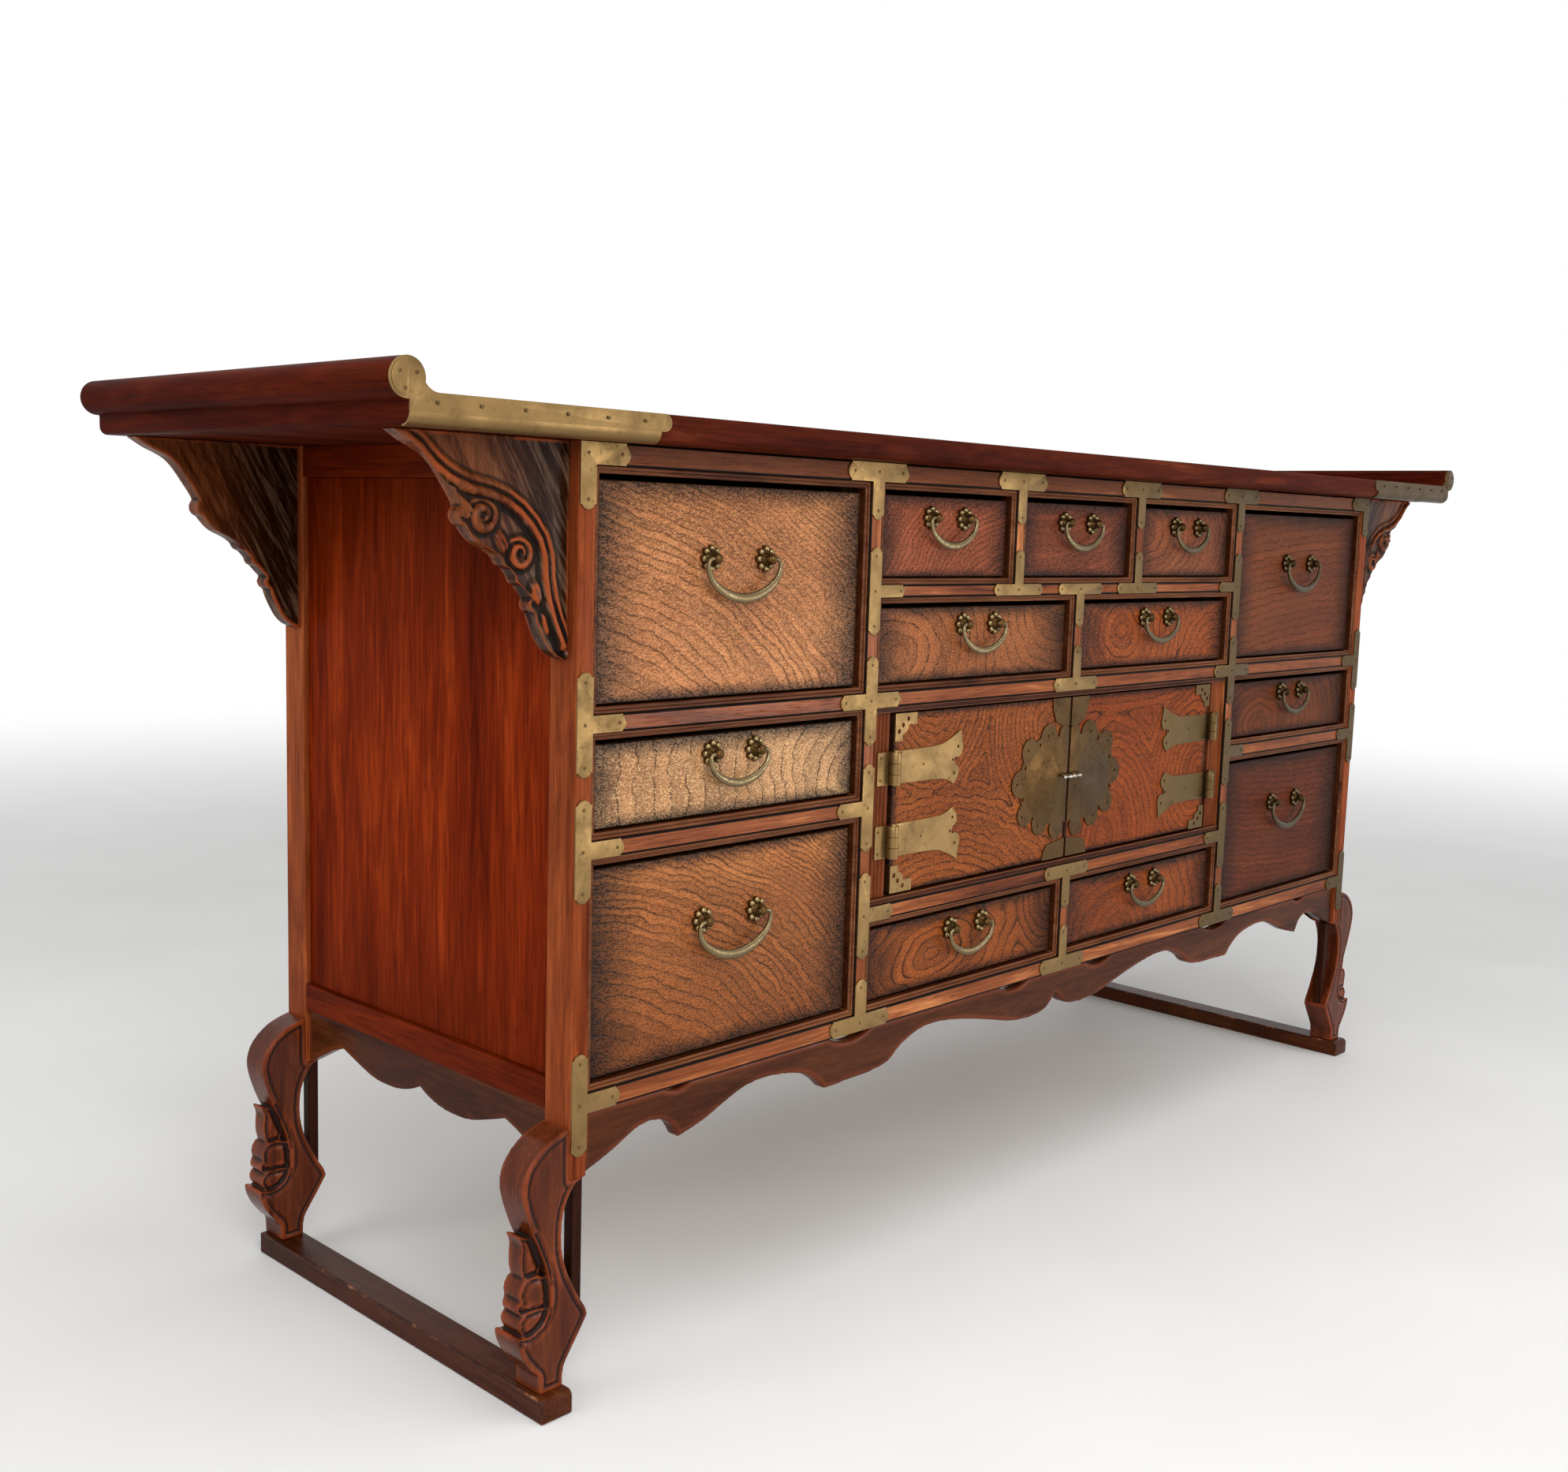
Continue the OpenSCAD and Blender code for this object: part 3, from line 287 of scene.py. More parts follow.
def elm_front(name, node, stain, sheen, seed, glow, edge, figure):
    """A flat-sawn elm board in a node's box. glow: painted glare and shade, how much paler it turns towards
    its right and upper edge and how much darker towards the other side. edge: reach of the dark left, right,
    upper and lower edges in millimetres, painted shade where the front meets its frame. figure: the middle of
    the growth rings as shares of half the front, how much longer than high they are, their tilt, their
    spacing and how it closes up outwards, the depth and length of their scallops, how dark the lines are, and
    further middles with their distance behind the first."""
    centre_x, centre_z, long, tilt, spacing, crowd, scallop, pitch, strong, *others = figure
    low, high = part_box(node)
    colour = toned(stain)
    r = Recipe(name)
    x, _, z = r.axes()
    middle, half = (low + high) / 2, (high - low) / 2
    shift = (seed * 3.17, seed * 1.91, seed * 2.53)
    other = (seed * 1.13, seed * 2.77, seed * 0.91)
    bend = r.grain((9, 9, 14), shift, 3, 0.5, 0.3)
    wave = r.grain((30, 30, 44), other, 2, 0.45)
    shiver = r.grain((150, 150, 230), shift, 2, 0.5)

    # distance from the middle of the rings, with the scallops of each ring
    across = x - (middle.x + centre_x * half.x) + (bend * 0.05 - 0.025)
    above = z - (middle.z + centre_z * half.z) + (wave * 0.007 - 0.0035)
    cosine, sine = math.cos(math.radians(tilt)), math.sin(math.radians(tilt))
    reach = r.length(across * (cosine / long) + above * (sine / long), above * cosine - across * sine)
    for near_x, near_z, behind in others:
        near = r.length(x - (middle.x + near_x * half.x),
                        z - (middle.z + near_z * half.z) + (bend * 0.04 - 0.02))
        reach = r.calc("SMOOTH_MIN", reach, near + behind, 0.012)
    arc = r.calc("FRACT", (x if pitch > 0 else z) / abs(pitch) + (bend * 3.0 + reach * 9.0))
    hook = arc ** 1.5 * r.between(arc, 1.0, 0.66)
    reach = reach + hook * r.between(bend, 0.4, 0.62, 0.2 * scallop, scallop) + (shiver * 0.0011 - 0.0006)
    ring = (reach / spacing) ** crowd
    part = r.calc("FRACT", ring)
    gap = reach / (ring * crowd)
    number = r.get("ShaderNodeTexWhiteNoise", {"W": r.calc("FLOOR", ring)}, noise_dimensions="1D")

    # fibres, rings and pores over the stain
    fade = r.between(r.grain((15, 15, 26), other, 3, 0.6), 0.34, 0.56, 0.4, 1.0)
    fibre = r.grain((30, 300, 620), shift, 3, 0.6)
    pores = r.grain((380, 380, 950), shift, 2, 0.55, turn=(0, math.radians(-tilt - 12), 0))
    flecks = r.grain((520, 520, 900), other, 2, 0.5)
    patch = r.grain((7, 7, 12), other, 3, 0.55)
    wood = r.ramp(patch, [(0.3, warmer(colour, 0.74)), (0.5, colour), (0.72, warmer(colour, 1.24))])
    wood = r.shaded(wood, r.between(fibre * 0.65 + number * 0.35, 0.25, 0.8, 0.64, 1.32, False))
    # painted glare and shade: the front turns paler towards one side and darker towards the other
    if any(glow):
        glare_side = (x - middle.x) * (glow[0] / half.x) + (z - middle.z) * (glow[1] / half.z)
        wood = r.blend(1.0, wood, r.ramp(glare_side * 0.5 + 0.5, GLARE_AND_SHADE_RAMP), "MULTIPLY")
    late = r.between(part, 0.3, 1.0) * fade * (0.42 * strong)
    wood = r.blend(late, wood, deeper(colour, 0.45))
    line = r.between((1.0 - part) * gap, *RING_LINE) * fade * r.between(number, 0.0, 1.0, 0.4, 1.0, False)
    wood = r.blend(line * strong, wood, deeper(colour, 0.07))
    wood = r.blend(r.between(flecks, 0.5, 0.66, 0.0, 0.6), wood, warmer(colour, 1.8))
    open_pore = r.between(pores, 0.52, 0.64)
    wood = r.blend(open_pore * 0.54, wood, deeper(colour, 0.2))

    # painted shade along the edges, where the front meets its frame
    loose = wave * 0.02 - 0.01
    edge_shade = 0.0
    for inwards, far in zip((x - low.x, high.x - x, high.z - z, z - low.z), edge):
        inwards = inwards + loose * min(1.0, far / 20)
        edge_shade = r.calc("MAXIMUM", edge_shade, r.between(inwards, far * EDGE_SHADE_REACH * MM, 0.5 * MM, smooth=False))
    edge_shade = edge_shade + (open_pore * 0.5 - 0.12) * edge_shade
    wood = r.blend(edge_shade * 0.98, wood, shade("#110a07"))
    rough = r.between(fibre, 0.2, 0.8, ELM_GLOSS - 0.04, ELM_GLOSS + 0.1) + line * 0.15
    relief = fibre * 0.35 - r.calc("MAXIMUM", line, open_pore)
    return r.done(wood, rough, relief, 0.0006, strength=0.6, sheen=sheen)


def carved_wood(name, colour, raised, hollow, gloss, sheen, fade=None, grain=(260, 260, 34)):
    """Carved and stained wood: paler and redder on its ridges, partly worn by handling and partly painted
    highlight, and nearly black in its hollows as painted shade. fade: the distance from the middle over which
    it turns from dark, as painted shade near the case, to red, as painted light further out."""
    r = Recipe(name)
    depth = r.get("ShaderNodeAttribute", output="Fac", attribute_name="carving")
    fibre = r.grain(grain, detail=4, rough=0.6, twist=0.4)
    broad = r.grain(tuple(g * 0.1 for g in grain), detail=4, rough=0.6, twist=0.8)
    stained = r.ramp(broad, [(0.32, warmer(colour, 0.5)), (0.5, colour), (0.7, warmer(colour, 1.5))])
    # painted shade and light: darker towards the case, redder further out, with grain streaks in both
    if fade:
        across, deep, high = r.axes()
        across = r.calc("ABSOLUTE", across)
        lines = r.get("ShaderNodeCombineXYZ", {
            0: (across * 0.87 - high * 0.5) * 190.0, 1: deep * 60.0, 2: (across * 0.5 + high * 0.87) * 15.0})
        streak = r.noise(lines, 1.0, 3.0, 0.6, 0.6)
        dark_wood = r.blend(r.between(streak, 0.47, 0.68), deeper(colour, 0.16), shade("#5c4433"))
        red = r.blend(r.between(streak, 0.35, 0.6), deeper(colour, 0.6), warmer(colour, 1.5))
        stained = r.blend(r.between(across, *fade), dark_wood, red)
    stained = r.shaded(stained, r.between(fibre, 0.3, 0.7, 0.66, 1.2, False))
    # painted highlight with handling wear: paler, redder wood on the ridges
    ridge_wear_and_highlight = r.between(depth, -0.15, -0.9) * r.between(broad, 0.35, 0.6, 0.0, 0.8)
    stained = r.blend(ridge_wear_and_highlight, stained, raised)
    # painted shade: the hollows turn nearly black
    stained = r.blend(r.between(depth, 0.06, 0.7, 0.0, 0.9), stained, hollow)
    rough = r.between(fibre, 0.2, 0.8, gloss - 0.05, gloss + 0.1) + r.between(depth, 0.0, 0.5, 0.0, 0.25)
    return r.done(stained, rough, fibre, sheen=sheen)


def brass_finish(name, colour, patina, rough, spots, stipple=0.0):
    """Aged brass: worn bright on the flats, brown patina in patches, fine scratches or a stippled skin, and
    painted shade that darkens it towards the right.
    """
    r = Recipe(name)
    cloud = r.noise(r.place, 34.0, 4.0, 0.6, 0.4)
    fleck = r.noise(r.place, 210.0, 3.0, 0.6)
    scratch = r.grain((260, 700, 1600), detail=2, turn=(0.2, 0.5, 0.3))
    stains = [(0.2, patina), (0.38, deeper(colour, 0.84)), (0.6, colour), (0.8, deeper(colour, 1.15))]
    worn = r.ramp(cloud, stains)
    dull = r.between(fleck, 0.56, 0.74, 0.0, spots)
    worn = r.blend(dull, worn, patina)
    # painted shade: the brass turns darker towards the right
    worn = r.blend(r.between(r.axes()[0], -0.3, 0.5, 0.0, 0.8), worn, deeper(colour, 0.25))
    height = scratch * 0.25 + fleck * 0.4
    if stipple:
        height = height + r.get("ShaderNodeTexVoronoi", {"Vector": r.place, "Scale": 900.0}) * stipple
    gloss = r.between(cloud, 0.3, 0.7, rough + 0.12, rough - 0.04) + dull * 0.3
    return r.done(worn, gloss, height, 0.00025, metal=0.9)


# Pieces from CAD nodes

def new_piece(name, mesh):
    piece = bpy.data.objects.new(name, mesh)
    bpy.context.scene.collection.objects.link(piece)
    return piece


def settled(bm, name):
    """A mesh with what the bmesh holds, which is freed."""
    mesh = bpy.data.meshes.new(name)
    bm.to_mesh(mesh)
    bm.free()
    return mesh


def welded(node):
    """A copy of a node's CAD mesh with its points joined up."""
    bm = bmesh.new()
    bm.from_mesh(NODES[node].data)
    bmesh.ops.remove_doubles(bm, verts=bm.verts, dist=WELD)
    return bm


def bake(piece):
    """Turns a piece and its modifiers into one plain mesh."""
    solid = bpy.data.meshes.new_from_object(piece.evaluated_get(bpy.context.evaluated_depsgraph_get()))
    piece.modifiers.clear()
    piece.data = solid
    solid.name = piece.name
    return piece


def islands(bm):
    """The separate boards in a mesh, each as a list of faces."""
    left, found = set(bm.faces), []
    while left:
        start = left.pop()
        group, queue = [start], [start]
        while queue:
            for edge in queue.pop().edges:
                for face in edge.link_faces:
                    if face in left:
                        left.discard(face)
                        group.append(face)
                        queue.append(face)
        found.append(group)
    return found


def dressed(node, materials, round_edge, choose=None, segments=2, merge=True, edge_material=-1):
    """A copy of a CAD node with softened edges that stands for the node. choose picks a board's material."""
    bm = welded(node)
    if merge:
        bmesh.ops.dissolve_limit(bm, angle_limit=FLAT_ANGLE, verts=bm.verts, edges=bm.edges)
    if choose:
        for board in islands(bm):
            points = [v.co for f in board for v in f.verts]
            low = Vector([min(p[i] for p in points) for i in range(3)])
            high = Vector([max(p[i] for p in points) for i in range(3)])
            index = choose(low, high)
            for face in board:
                face.material_index = index
    for face in bm.faces:
        face.smooth = True
    mesh = settled(bm, node + "_finish")
    for material in materials:
        mesh.materials.append(material)
    piece = new_piece(node + "_finish", mesh)
    mesh.set_sharp_from_angle(angle=SHARP_ANGLE)
    if round_edge:
        soften = piece.modifiers.new("Softened edges", "BEVEL")
        soften.width = round_edge
        soften.segments = segments
        soften.limit_method = "ANGLE"
        soften.angle_limit = SHARP_ANGLE
        soften.harden_normals = True
        soften.use_clamp_overlap = not merge
        soften.material = edge_material
        bake(piece)
    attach(piece, NODES[node]["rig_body"])
    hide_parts(node)
    return piece


def column(items, name, width, kind=float):
    """One property of all points or edges, as rows of an array."""
    values = np.empty(len(items) * width, dtype=kind)
    items.foreach_get(name, values)
    return values.reshape(-1, width)


def average(values, edges, count):
    """The mean of each point's neighbours."""
    total = np.zeros_like(values)
    for a, b in ((0, 1), (1, 0)):
        for axis in range(values.shape[1]):
            total[:, axis] += np.bincount(edges[:, a], values[edges[:, b], axis], len(values))
    return total / count


def carved(node, material, grid, group, soften=3, shape=None):
    """Boards of a node as carved wood: rounded over on a fine grid, one piece for each group, with the depth
    of the carving kept on its points. shape moves the points first."""
    bm = welded(node)
    boards = {}
    for board in islands(bm):
        points = [v.co for f in board for v in f.verts]
        boards.setdefault(group(sum(points, Vector()) / len(points)), set()).update(board)
    bm.faces.index_update()
    pieces = []
    for key in sorted(boards):
        part = bm.copy()
        part.faces.ensure_lookup_table()
        keep = {f.index for f in boards[key]}
        bmesh.ops.delete(part, geom=[f for f in part.faces if f.index not in keep], context="FACES")
        name = "%s_%s" % (node, key)
        piece = new_piece(name, settled(part, name))
        voxels = piece.modifiers.new("Grid", "REMESH")
        voxels.mode = "VOXEL"
        voxels.voxel_size = grid
        mesh = bake(piece).data
        places = column(mesh.vertices, "co", 3)
        edges = column(mesh.edges, "vertices", 2, np.int32)
        near = np.bincount(edges.ravel(), minlength=len(places))[:, None]
        for _ in range(soften):
            places = 0.4 * places + 0.6 * average(places, edges, near)
        mesh.vertices.foreach_set("co", places.ravel())
        mesh.update()
        normals = column(mesh.vertices, "normal", 3)
        if shape:
            places = shape(places, normals)
            mesh.vertices.foreach_set("co", places.ravel())
            mesh.update()
            normals = column(mesh.vertices, "normal", 3)
        smooth = places
        for _ in range(SPREAD):
            smooth = average(smooth, edges, near)
        hollow = ((smooth - places) * normals).sum(axis=1, keepdims=True) / CARVING_DEPTH
        hollow = average(average(hollow, edges, near), edges, near)
        layer = mesh.attributes.new("carving", "FLOAT", "POINT")
        layer.data.foreach_set("value", np.clip(hollow, -1, 1).ravel().astype(np.float32))
        mesh.polygons.foreach_set("use_smooth", np.ones(len(mesh.polygons), dtype=bool))
        mesh.materials.clear()
        mesh.materials.append(material)
        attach(piece, NODES[node]["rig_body"])
        pieces.append(piece)
    bm.free()
    for piece in pieces:
        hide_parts(node)
    return pieces


def longest(low, high):
    """Index of the material whose grain runs along a board's longest side: 0 for X, 1 for Y, 2 for Z."""
    size = high - low
    return max(range(3), key=lambda i: size[i])


def tube(name, rings):
    """A closed skin over rings of points, with flat ends."""
    bm = bmesh.new()
    rings = [[bm.verts.new(point) for point in ring] for ring in rings]
    for a, b in zip(rings, rings[1:]):
        for k in range(len(a)):
            after = (k + 1) % len(a)
            bm.faces.new((a[k], b[k], b[after], a[after]))
    bm.faces.new(rings[0])
    bm.faces.new(list(reversed(rings[-1])))
    bmesh.ops.recalc_face_normals(bm, faces=bm.faces)
    for face in bm.faces:
        face.smooth = len(face.verts) == 4
    return settled(bm, name)


def ring_of():
    """Sine and cosine of each point round a tube."""
    turns = [2 * math.pi * k / ROUND_SIDES for k in range(ROUND_SIDES)]
    return [(math.sin(a), math.cos(a)) for a in turns]


# Settings

ELM = "#8c5530"


def size_setting(label, what, value, low, high):
    return FloatProperty(
        name=label, description=what, default=value, min=low, max=high, subtype="DISTANCE", unit="LENGTH")


def colour_setting(label, what, code):
    return FloatVectorProperty(
        name=label, description=what, default=shade(code), min=0, max=1, size=4, subtype="COLOR")


class SideboardSizes(bpy.types.PropertyGroup):
    """Small sizes of the finish."""
    edge_round: size_setting("Softened edge", "Width of the worn edge of each board", 0.0011, 0.0002, 0.003)
    plate_edge: size_setting("Plate edge", "Width of the filed edge of brass plates", 0.0004, 0.0001, 0.001)
    nail_radius: size_setting("Nail head", "Radius of a brass nail's head", 0.0015, 0.001, 0.004)
    bail_thick: size_setting("Bail", "Half the height of a bail at its middle", 0.0046, 0.003, 0.006)


class SideboardColours(bpy.types.PropertyGroup):
    """Main colours of the finish."""
    side: colour_setting("Side wood", "Stain of the side panels", "#7a2709")
    frame: colour_setting("Frame wood", "Stain of rails, stiles and stand", "#743a1c")
    top: colour_setting("Top wood", "Stain of the top board", "#4e1b0b")
    front: colour_setting("Elm fronts", "Colour of the drawer fronts and doors", ELM)
    brass: colour_setting("Bright brass", "Colour of the flat brass plates", "#856a42")
    dark_brass: colour_setting("Dark brass", "Colour of the lock plate and the pulls", "#583f20")


def sizes():
    return bpy.context.scene.sideboard_sizes


def colour_of(name):
    return tuple(getattr(bpy.context.scene.sideboard_colours, name))


def toned(code):
    """A front's stain, moved along with the colour that the panel gives for all the elm."""
    return tuple(a * b / c for a, b, c in zip(shade(code)[:3], colour_of("front"), shade(ELM))) + (1.0,)


SHARED = {}


def shared(key, make):
    """A finish or node tree that several pieces share, made once."""
    if key not in SHARED:
        SHARED[key] = make()
    return SHARED[key]


def bright_brass():
    return shared("bright", lambda: brass_finish(
        "bright_brass", colour_of("brass"), shade("#5a4428"), 0.4, 0.4))


def dark_brass():
    return shared("dark", lambda: brass_finish(
        "dark_brass", colour_of("dark_brass"), shade("#33261a"), 0.4, 0.7))


# Case and stand

ROLL_X = 0.884  # where the rolled ends of the top begin
STRUT_MAX = 0.25  # the struts behind the legs are shorter than this, the posts longer
APRON_X = 0.6  # the front apron's middle lies inside this, the side aprons' outside


class SIDEBOARD_OT_top(bpy.types.Operator):
    """Finishes the top board and its rolled ends"""
    bl_idname = "sideboard.top"
    bl_label = "Top board"

    def execute(self, context):
        wood = board_wood("top_wood", colour_of("top"), "X", seed=4, gloss=0.46, sheen=0.03, light=2.2)
        roll = board_wood("roll_wood", shade("#491607"), "Y", seed=5, gloss=0.4, sheen=0.01)
        piece = dressed("top_board", [wood, roll], 1.2 * MM)
        for face in piece.data.polygons:
            face.material_index = int(abs(face.center.x) > ROLL_X)
        return {"FINISHED"}


class SIDEBOARD_OT_case(bpy.types.Operator):
    """Finishes posts, rails, panels, stiles, jambs, mouldings and the inside of the case"""
    bl_idname = "sideboard.case"
    bl_label = "Case"

    def execute(self, context):
        edge = sizes().edge_round
        side = woods("side_wood", deeper(colour_of("side"), 0.6), gloss=0.3, dark=0.4, sheen=0.02)
        post = woods("post_wood", shade("#8a4220"), gloss=0.3, dark=0.35, sheen=0.03)
        # painted shadow on the side panels: darker towards their top, under the overhanging top, and their
        # bottom
        panel = board_wood("panel_wood", colour_of("side"), "Z", seed=7, dark=0.38, light=1.8, gloss=0.3,
                           streak=1.2, sheen=0.01, shadow=((0.55, 0.85), (0.42, 0.26)))
        dark_wood = [board_wood("strut_wood", deeper(colour_of("frame"), 0.2), "Z", gloss=0.4)]

        def post_or_strut(low, high):
            return EXTRA if high.z - low.z < STRUT_MAX else 2

        dressed("corner_posts", post + dark_wood, edge, post_or_strut)
        dressed("side_and_back_rails", side, edge, longest)
        dressed("case_panels", [panel], edge)
        # painted shadow on the top rail, under the front edge of the top
        rail = woods("rail_wood", shade("#8c4c28"), gloss=0.2, sheen=0.08, dark=0.2, light=2.3,
                     shadow=((0.782, 0.796), (0.796, 0.83)))
        rail.append(board_wood("groove_shadow", shade("#120906"), "X", gloss=0.3, sheen=0.05))
        for node in ("front_rails", "front_stiles"):
            dressed(node, rail, edge * 2.0, longest, 3, edge_material=EXTRA)
        jamb = woods("frame_wood", colour_of("frame"))
        dressed("door_jambs", jamb, edge * 0.5, longest)
        moulding = woods("moulding_wood", shade("#43200f"), gloss=0.22, sheen=0.05, dark=0.3)
        # painted highlight: paler wood on the mouldings' rounded edges
        moulding.append(board_wood("worn_edge", shade("#7a482a"), "X", gloss=0.24, sheen=0.12, dark=0.1))
        piece = dressed("opening_mouldings", moulding, 0.8 * MM, longest, 3, edge_material=EXTRA)
        inner = woods("inner_wood", shade("#a27c50"), gloss=0.55, sheen=0.15)
        for node in ("inner_boards", "drawer_guides"):
            dressed(node, inner, edge, longest)
        return {"FINISHED"}


# The front brackets' carving in millimetres, from the side of the case outwards and from the top down
BRACKET_SIDE, BRACKET_TOP, BRACKET_FACE = 720, 815, 11
BRACKET_RIDGE = [(157, 3), (143, 12), (130, 25), (116, 34), (98, 41), (78, 45), (63, 50), (50, 58), (39, 68),
                 (30, 80), (25, 94), (24, 110), (21, 126), (15, 144), (5, 165)]
BRACKET_FAN = [[(96, 6), (78, 22), (56, 32), (38, 44), (18, 72), (9, 100)],
               [(74, 6), (56, 26), (34, 42), (16, 66), (8, 92)],
               [(58, 6), (40, 24), (22, 46), (8, 78)],
               [(40, 6), (24, 24), (10, 52)],
               [(26, 5), (12, 24), (5, 48)]]
CURL_PITCH = 12.0
# Middle, radius and start angle of each curl; middle, length, width and turn of each leaf
BRACKET_CURLS = [(84, 62, 17, 150), (49, 91, 16, 190)]
BRACKET_LEAVES = [(101, 57, 13, 7, 35), (66, 82, 12, 6, 60), (31, 122, 12, 7, 70), (21, 146, 12, 6, 75)]


def beside(points, line):
    """Distance of each point from a line of short pieces, and on which side of it the point lies."""
    best = np.full(len(points), 1e9)
    side = np.zeros(len(points))
    for a, b in zip(np.array(line[:-1], float), np.array(line[1:], float)):
        step = b - a
        share = np.clip(((points - a) @ step) / (step @ step), 0, 1)
        gap = points - (a + share[:, None] * step)
        away = np.hypot(gap[:, 0], gap[:, 1])
        turn = step[0] * gap[:, 1] - step[1] * gap[:, 0]
        side = np.where(away < best, np.sign(turn), side)
        best = np.minimum(best, away)
    return best, side


def rise(value, low, high):
    """0 below low, 1 above high and a smooth step between them."""
    share = np.clip((value - low) / (high - low), 0, 1)
    return share * share * (3 - 2 * share)


def swell(value, width):
    """1 at 0, falling off like a bell."""
    return np.exp(-(value / width) ** 2)


def bracket_relief(places, normals):
    """Carves the double ridge, the curls under it and the fan of grooves into the front brackets."""
    spot = np.stack([np.abs(places[:, 0]) / MM - BRACKET_SIDE, BRACKET_TOP - places[:, 2] / MM], axis=1)
    face = CASE_FRONT + BRACKET_FACE * MM
    away, side = beside(spot, BRACKET_RIDGE)
    signed = away * side
    height = (3.4 * swell(signed, 3.0) + 1.9 * swell(signed - 8.0, 2.2)
              - 1.2 * swell(signed - 4.8, 1.3) - 1.6 * swell(signed + 5.0, 1.6))
    under = rise(-signed, 3.5, 7.0)
    field = -2.2 * under
    for x, z, radius, start in BRACKET_CURLS:
        dx, dz = spot[:, 0] - x, spot[:, 1] - z
        far = np.hypot(dx, dz)
        angle = np.arctan2(dz, dx) - math.radians(start)
        coil = (far / CURL_PITCH - angle / (2 * math.pi)) % 1.0
        dome = rise(radius - far, 0, 7) * 4.8
        groove = swell(coil - 0.5, 0.14) * 3.6 * rise(far, 3.5, 6.0) * rise(radius - far, 0, 3)
        field = np.maximum(field, dome - 2.2 - groove)
        field -= 4.0 * swell(far, 3.8)
    for x, z, long, wide, turn in BRACKET_LEAVES:
        dx, dz = spot[:, 0] - x, spot[:, 1] - z
        cosine, sine = math.cos(math.radians(turn)), math.sin(math.radians(turn))
        ahead, aside = dx * cosine - dz * sine, dx * sine + dz * cosine
        far = np.hypot(ahead / long, aside / wide)
        leaf = rise(1.1 - far, 0, 0.7) * 3.4 - 2.2 - 1.2 * swell(aside, 1.2) * rise(1 - far, 0, 0.4)
        field = np.maximum(field, leaf)
    fan = np.zeros(len(spot))
    for line in BRACKET_FAN:
        fan = np.maximum(fan, swell(beside(spot, line)[0], 1.5))
    height += np.where(signed < 0, field * under, -0.2 * fan * rise(signed, 8, 12))
    target = face - np.clip(height, -4, 4.4) * MM
    front = rise(-normals[:, 1], 0.25, 0.8) * (places[:, 1] < face + 6 * MM)
    moved = places.copy()
    moved[:, 1] += (target - places[:, 1]) * front
    return moved


# The legs in millimetres: where their leaves lie outwards and in height, and the groove inside the rim
LEAVES_OUT, LEAVES_LOW, LEAVES_HIGH = 17, 70, 166
GROOVE_AT, GROOVE_WIDE, GROOVE_DEEP = 5.2, 1.1, 1.3


def bordered(places, normals):
    """Cuts a groove beside the rim of each leg's face, so that a bead stands there, and rounds its leaves."""
    facing = np.abs(normals[:, 1])
    rim = np.flatnonzero((facing < 0.9) & (facing > 0.2))
    tree = KDTree(len(rim))
    for index in rim:
        tree.insert(places[index], int(index))
    tree.balance()
    moved = places.copy()
    for index in np.flatnonzero(facing > 0.93):
        x, _, z = places[index] / MM
        gap = tree.find(places[index])[2] / MM
        leafy = abs(x) - BRACKET_SIDE > LEAVES_OUT and LEAVES_LOW < z < LEAVES_HIGH
        rounded = 3.2 * max(0.0, 1 - gap / 7.5) ** 2
        cut = rounded if leafy else GROOVE_DEEP * swell(gap - GROOVE_AT, GROOVE_WIDE)
        moved[index, 1] += math.copysign(cut * MM, -normals[index, 1])
    return moved


class SIDEBOARD_OT_stand(bpy.types.Operator):
    """Finishes the legs, floor runners, aprons and carved brackets"""
    bl_idname = "sideboard.stand"
    bl_label = "Stand and carving"

    def execute(self, context):
        frame_stain = colour_of("frame")
        runner = woods("stand_wood", deeper(frame_stain, 0.4), gloss=0.28, sheen=0.08, soot=0.4)
        runner.append(rubbed_edge())
        edge = sizes().edge_round * 1.6
        dressed("floor_runners", runner, edge, longest, edge_material=EXTRA)
        # carved finishes: stain, ridge colour (painted highlight with handling wear), hollow colour (painted
        # shade), gloss, sheen
        leg = carved_wood("carved_wood", warmer(frame_stain, 0.5), shade("#843a1a"), shade("#0d0706"),
                          0.2, 0.14)
        apron = carved_wood("apron_wood", deeper(frame_stain, 0.34), shade("#683019"), shade("#140b08"),
                            0.24, 0.08, grain=(34, 34, 260))
        bracket = carved_wood("bracket_wood", deeper(frame_stain, 0.62), shade("#964620"), shade("#0c0705"),
                              0.22, 0.08, fade=(0.745, 0.83))

        def side_of(middle):
            return "left" if middle.x < 0 else "right"

        def apron_of(middle):
            return "front" if abs(middle.x) < APRON_X else side_of(middle)

        pieces = carved("aprons", apron, 1.6 * MM, apron_of, 2)
        pieces += carved("legs", leg, 1.2 * MM, side_of, shape=bordered)
        pieces += carved("corner_brackets", bracket, 1.1 * MM, side_of, shape=bracket_relief)
        return {"FINISHED"}


# Drawers and doors

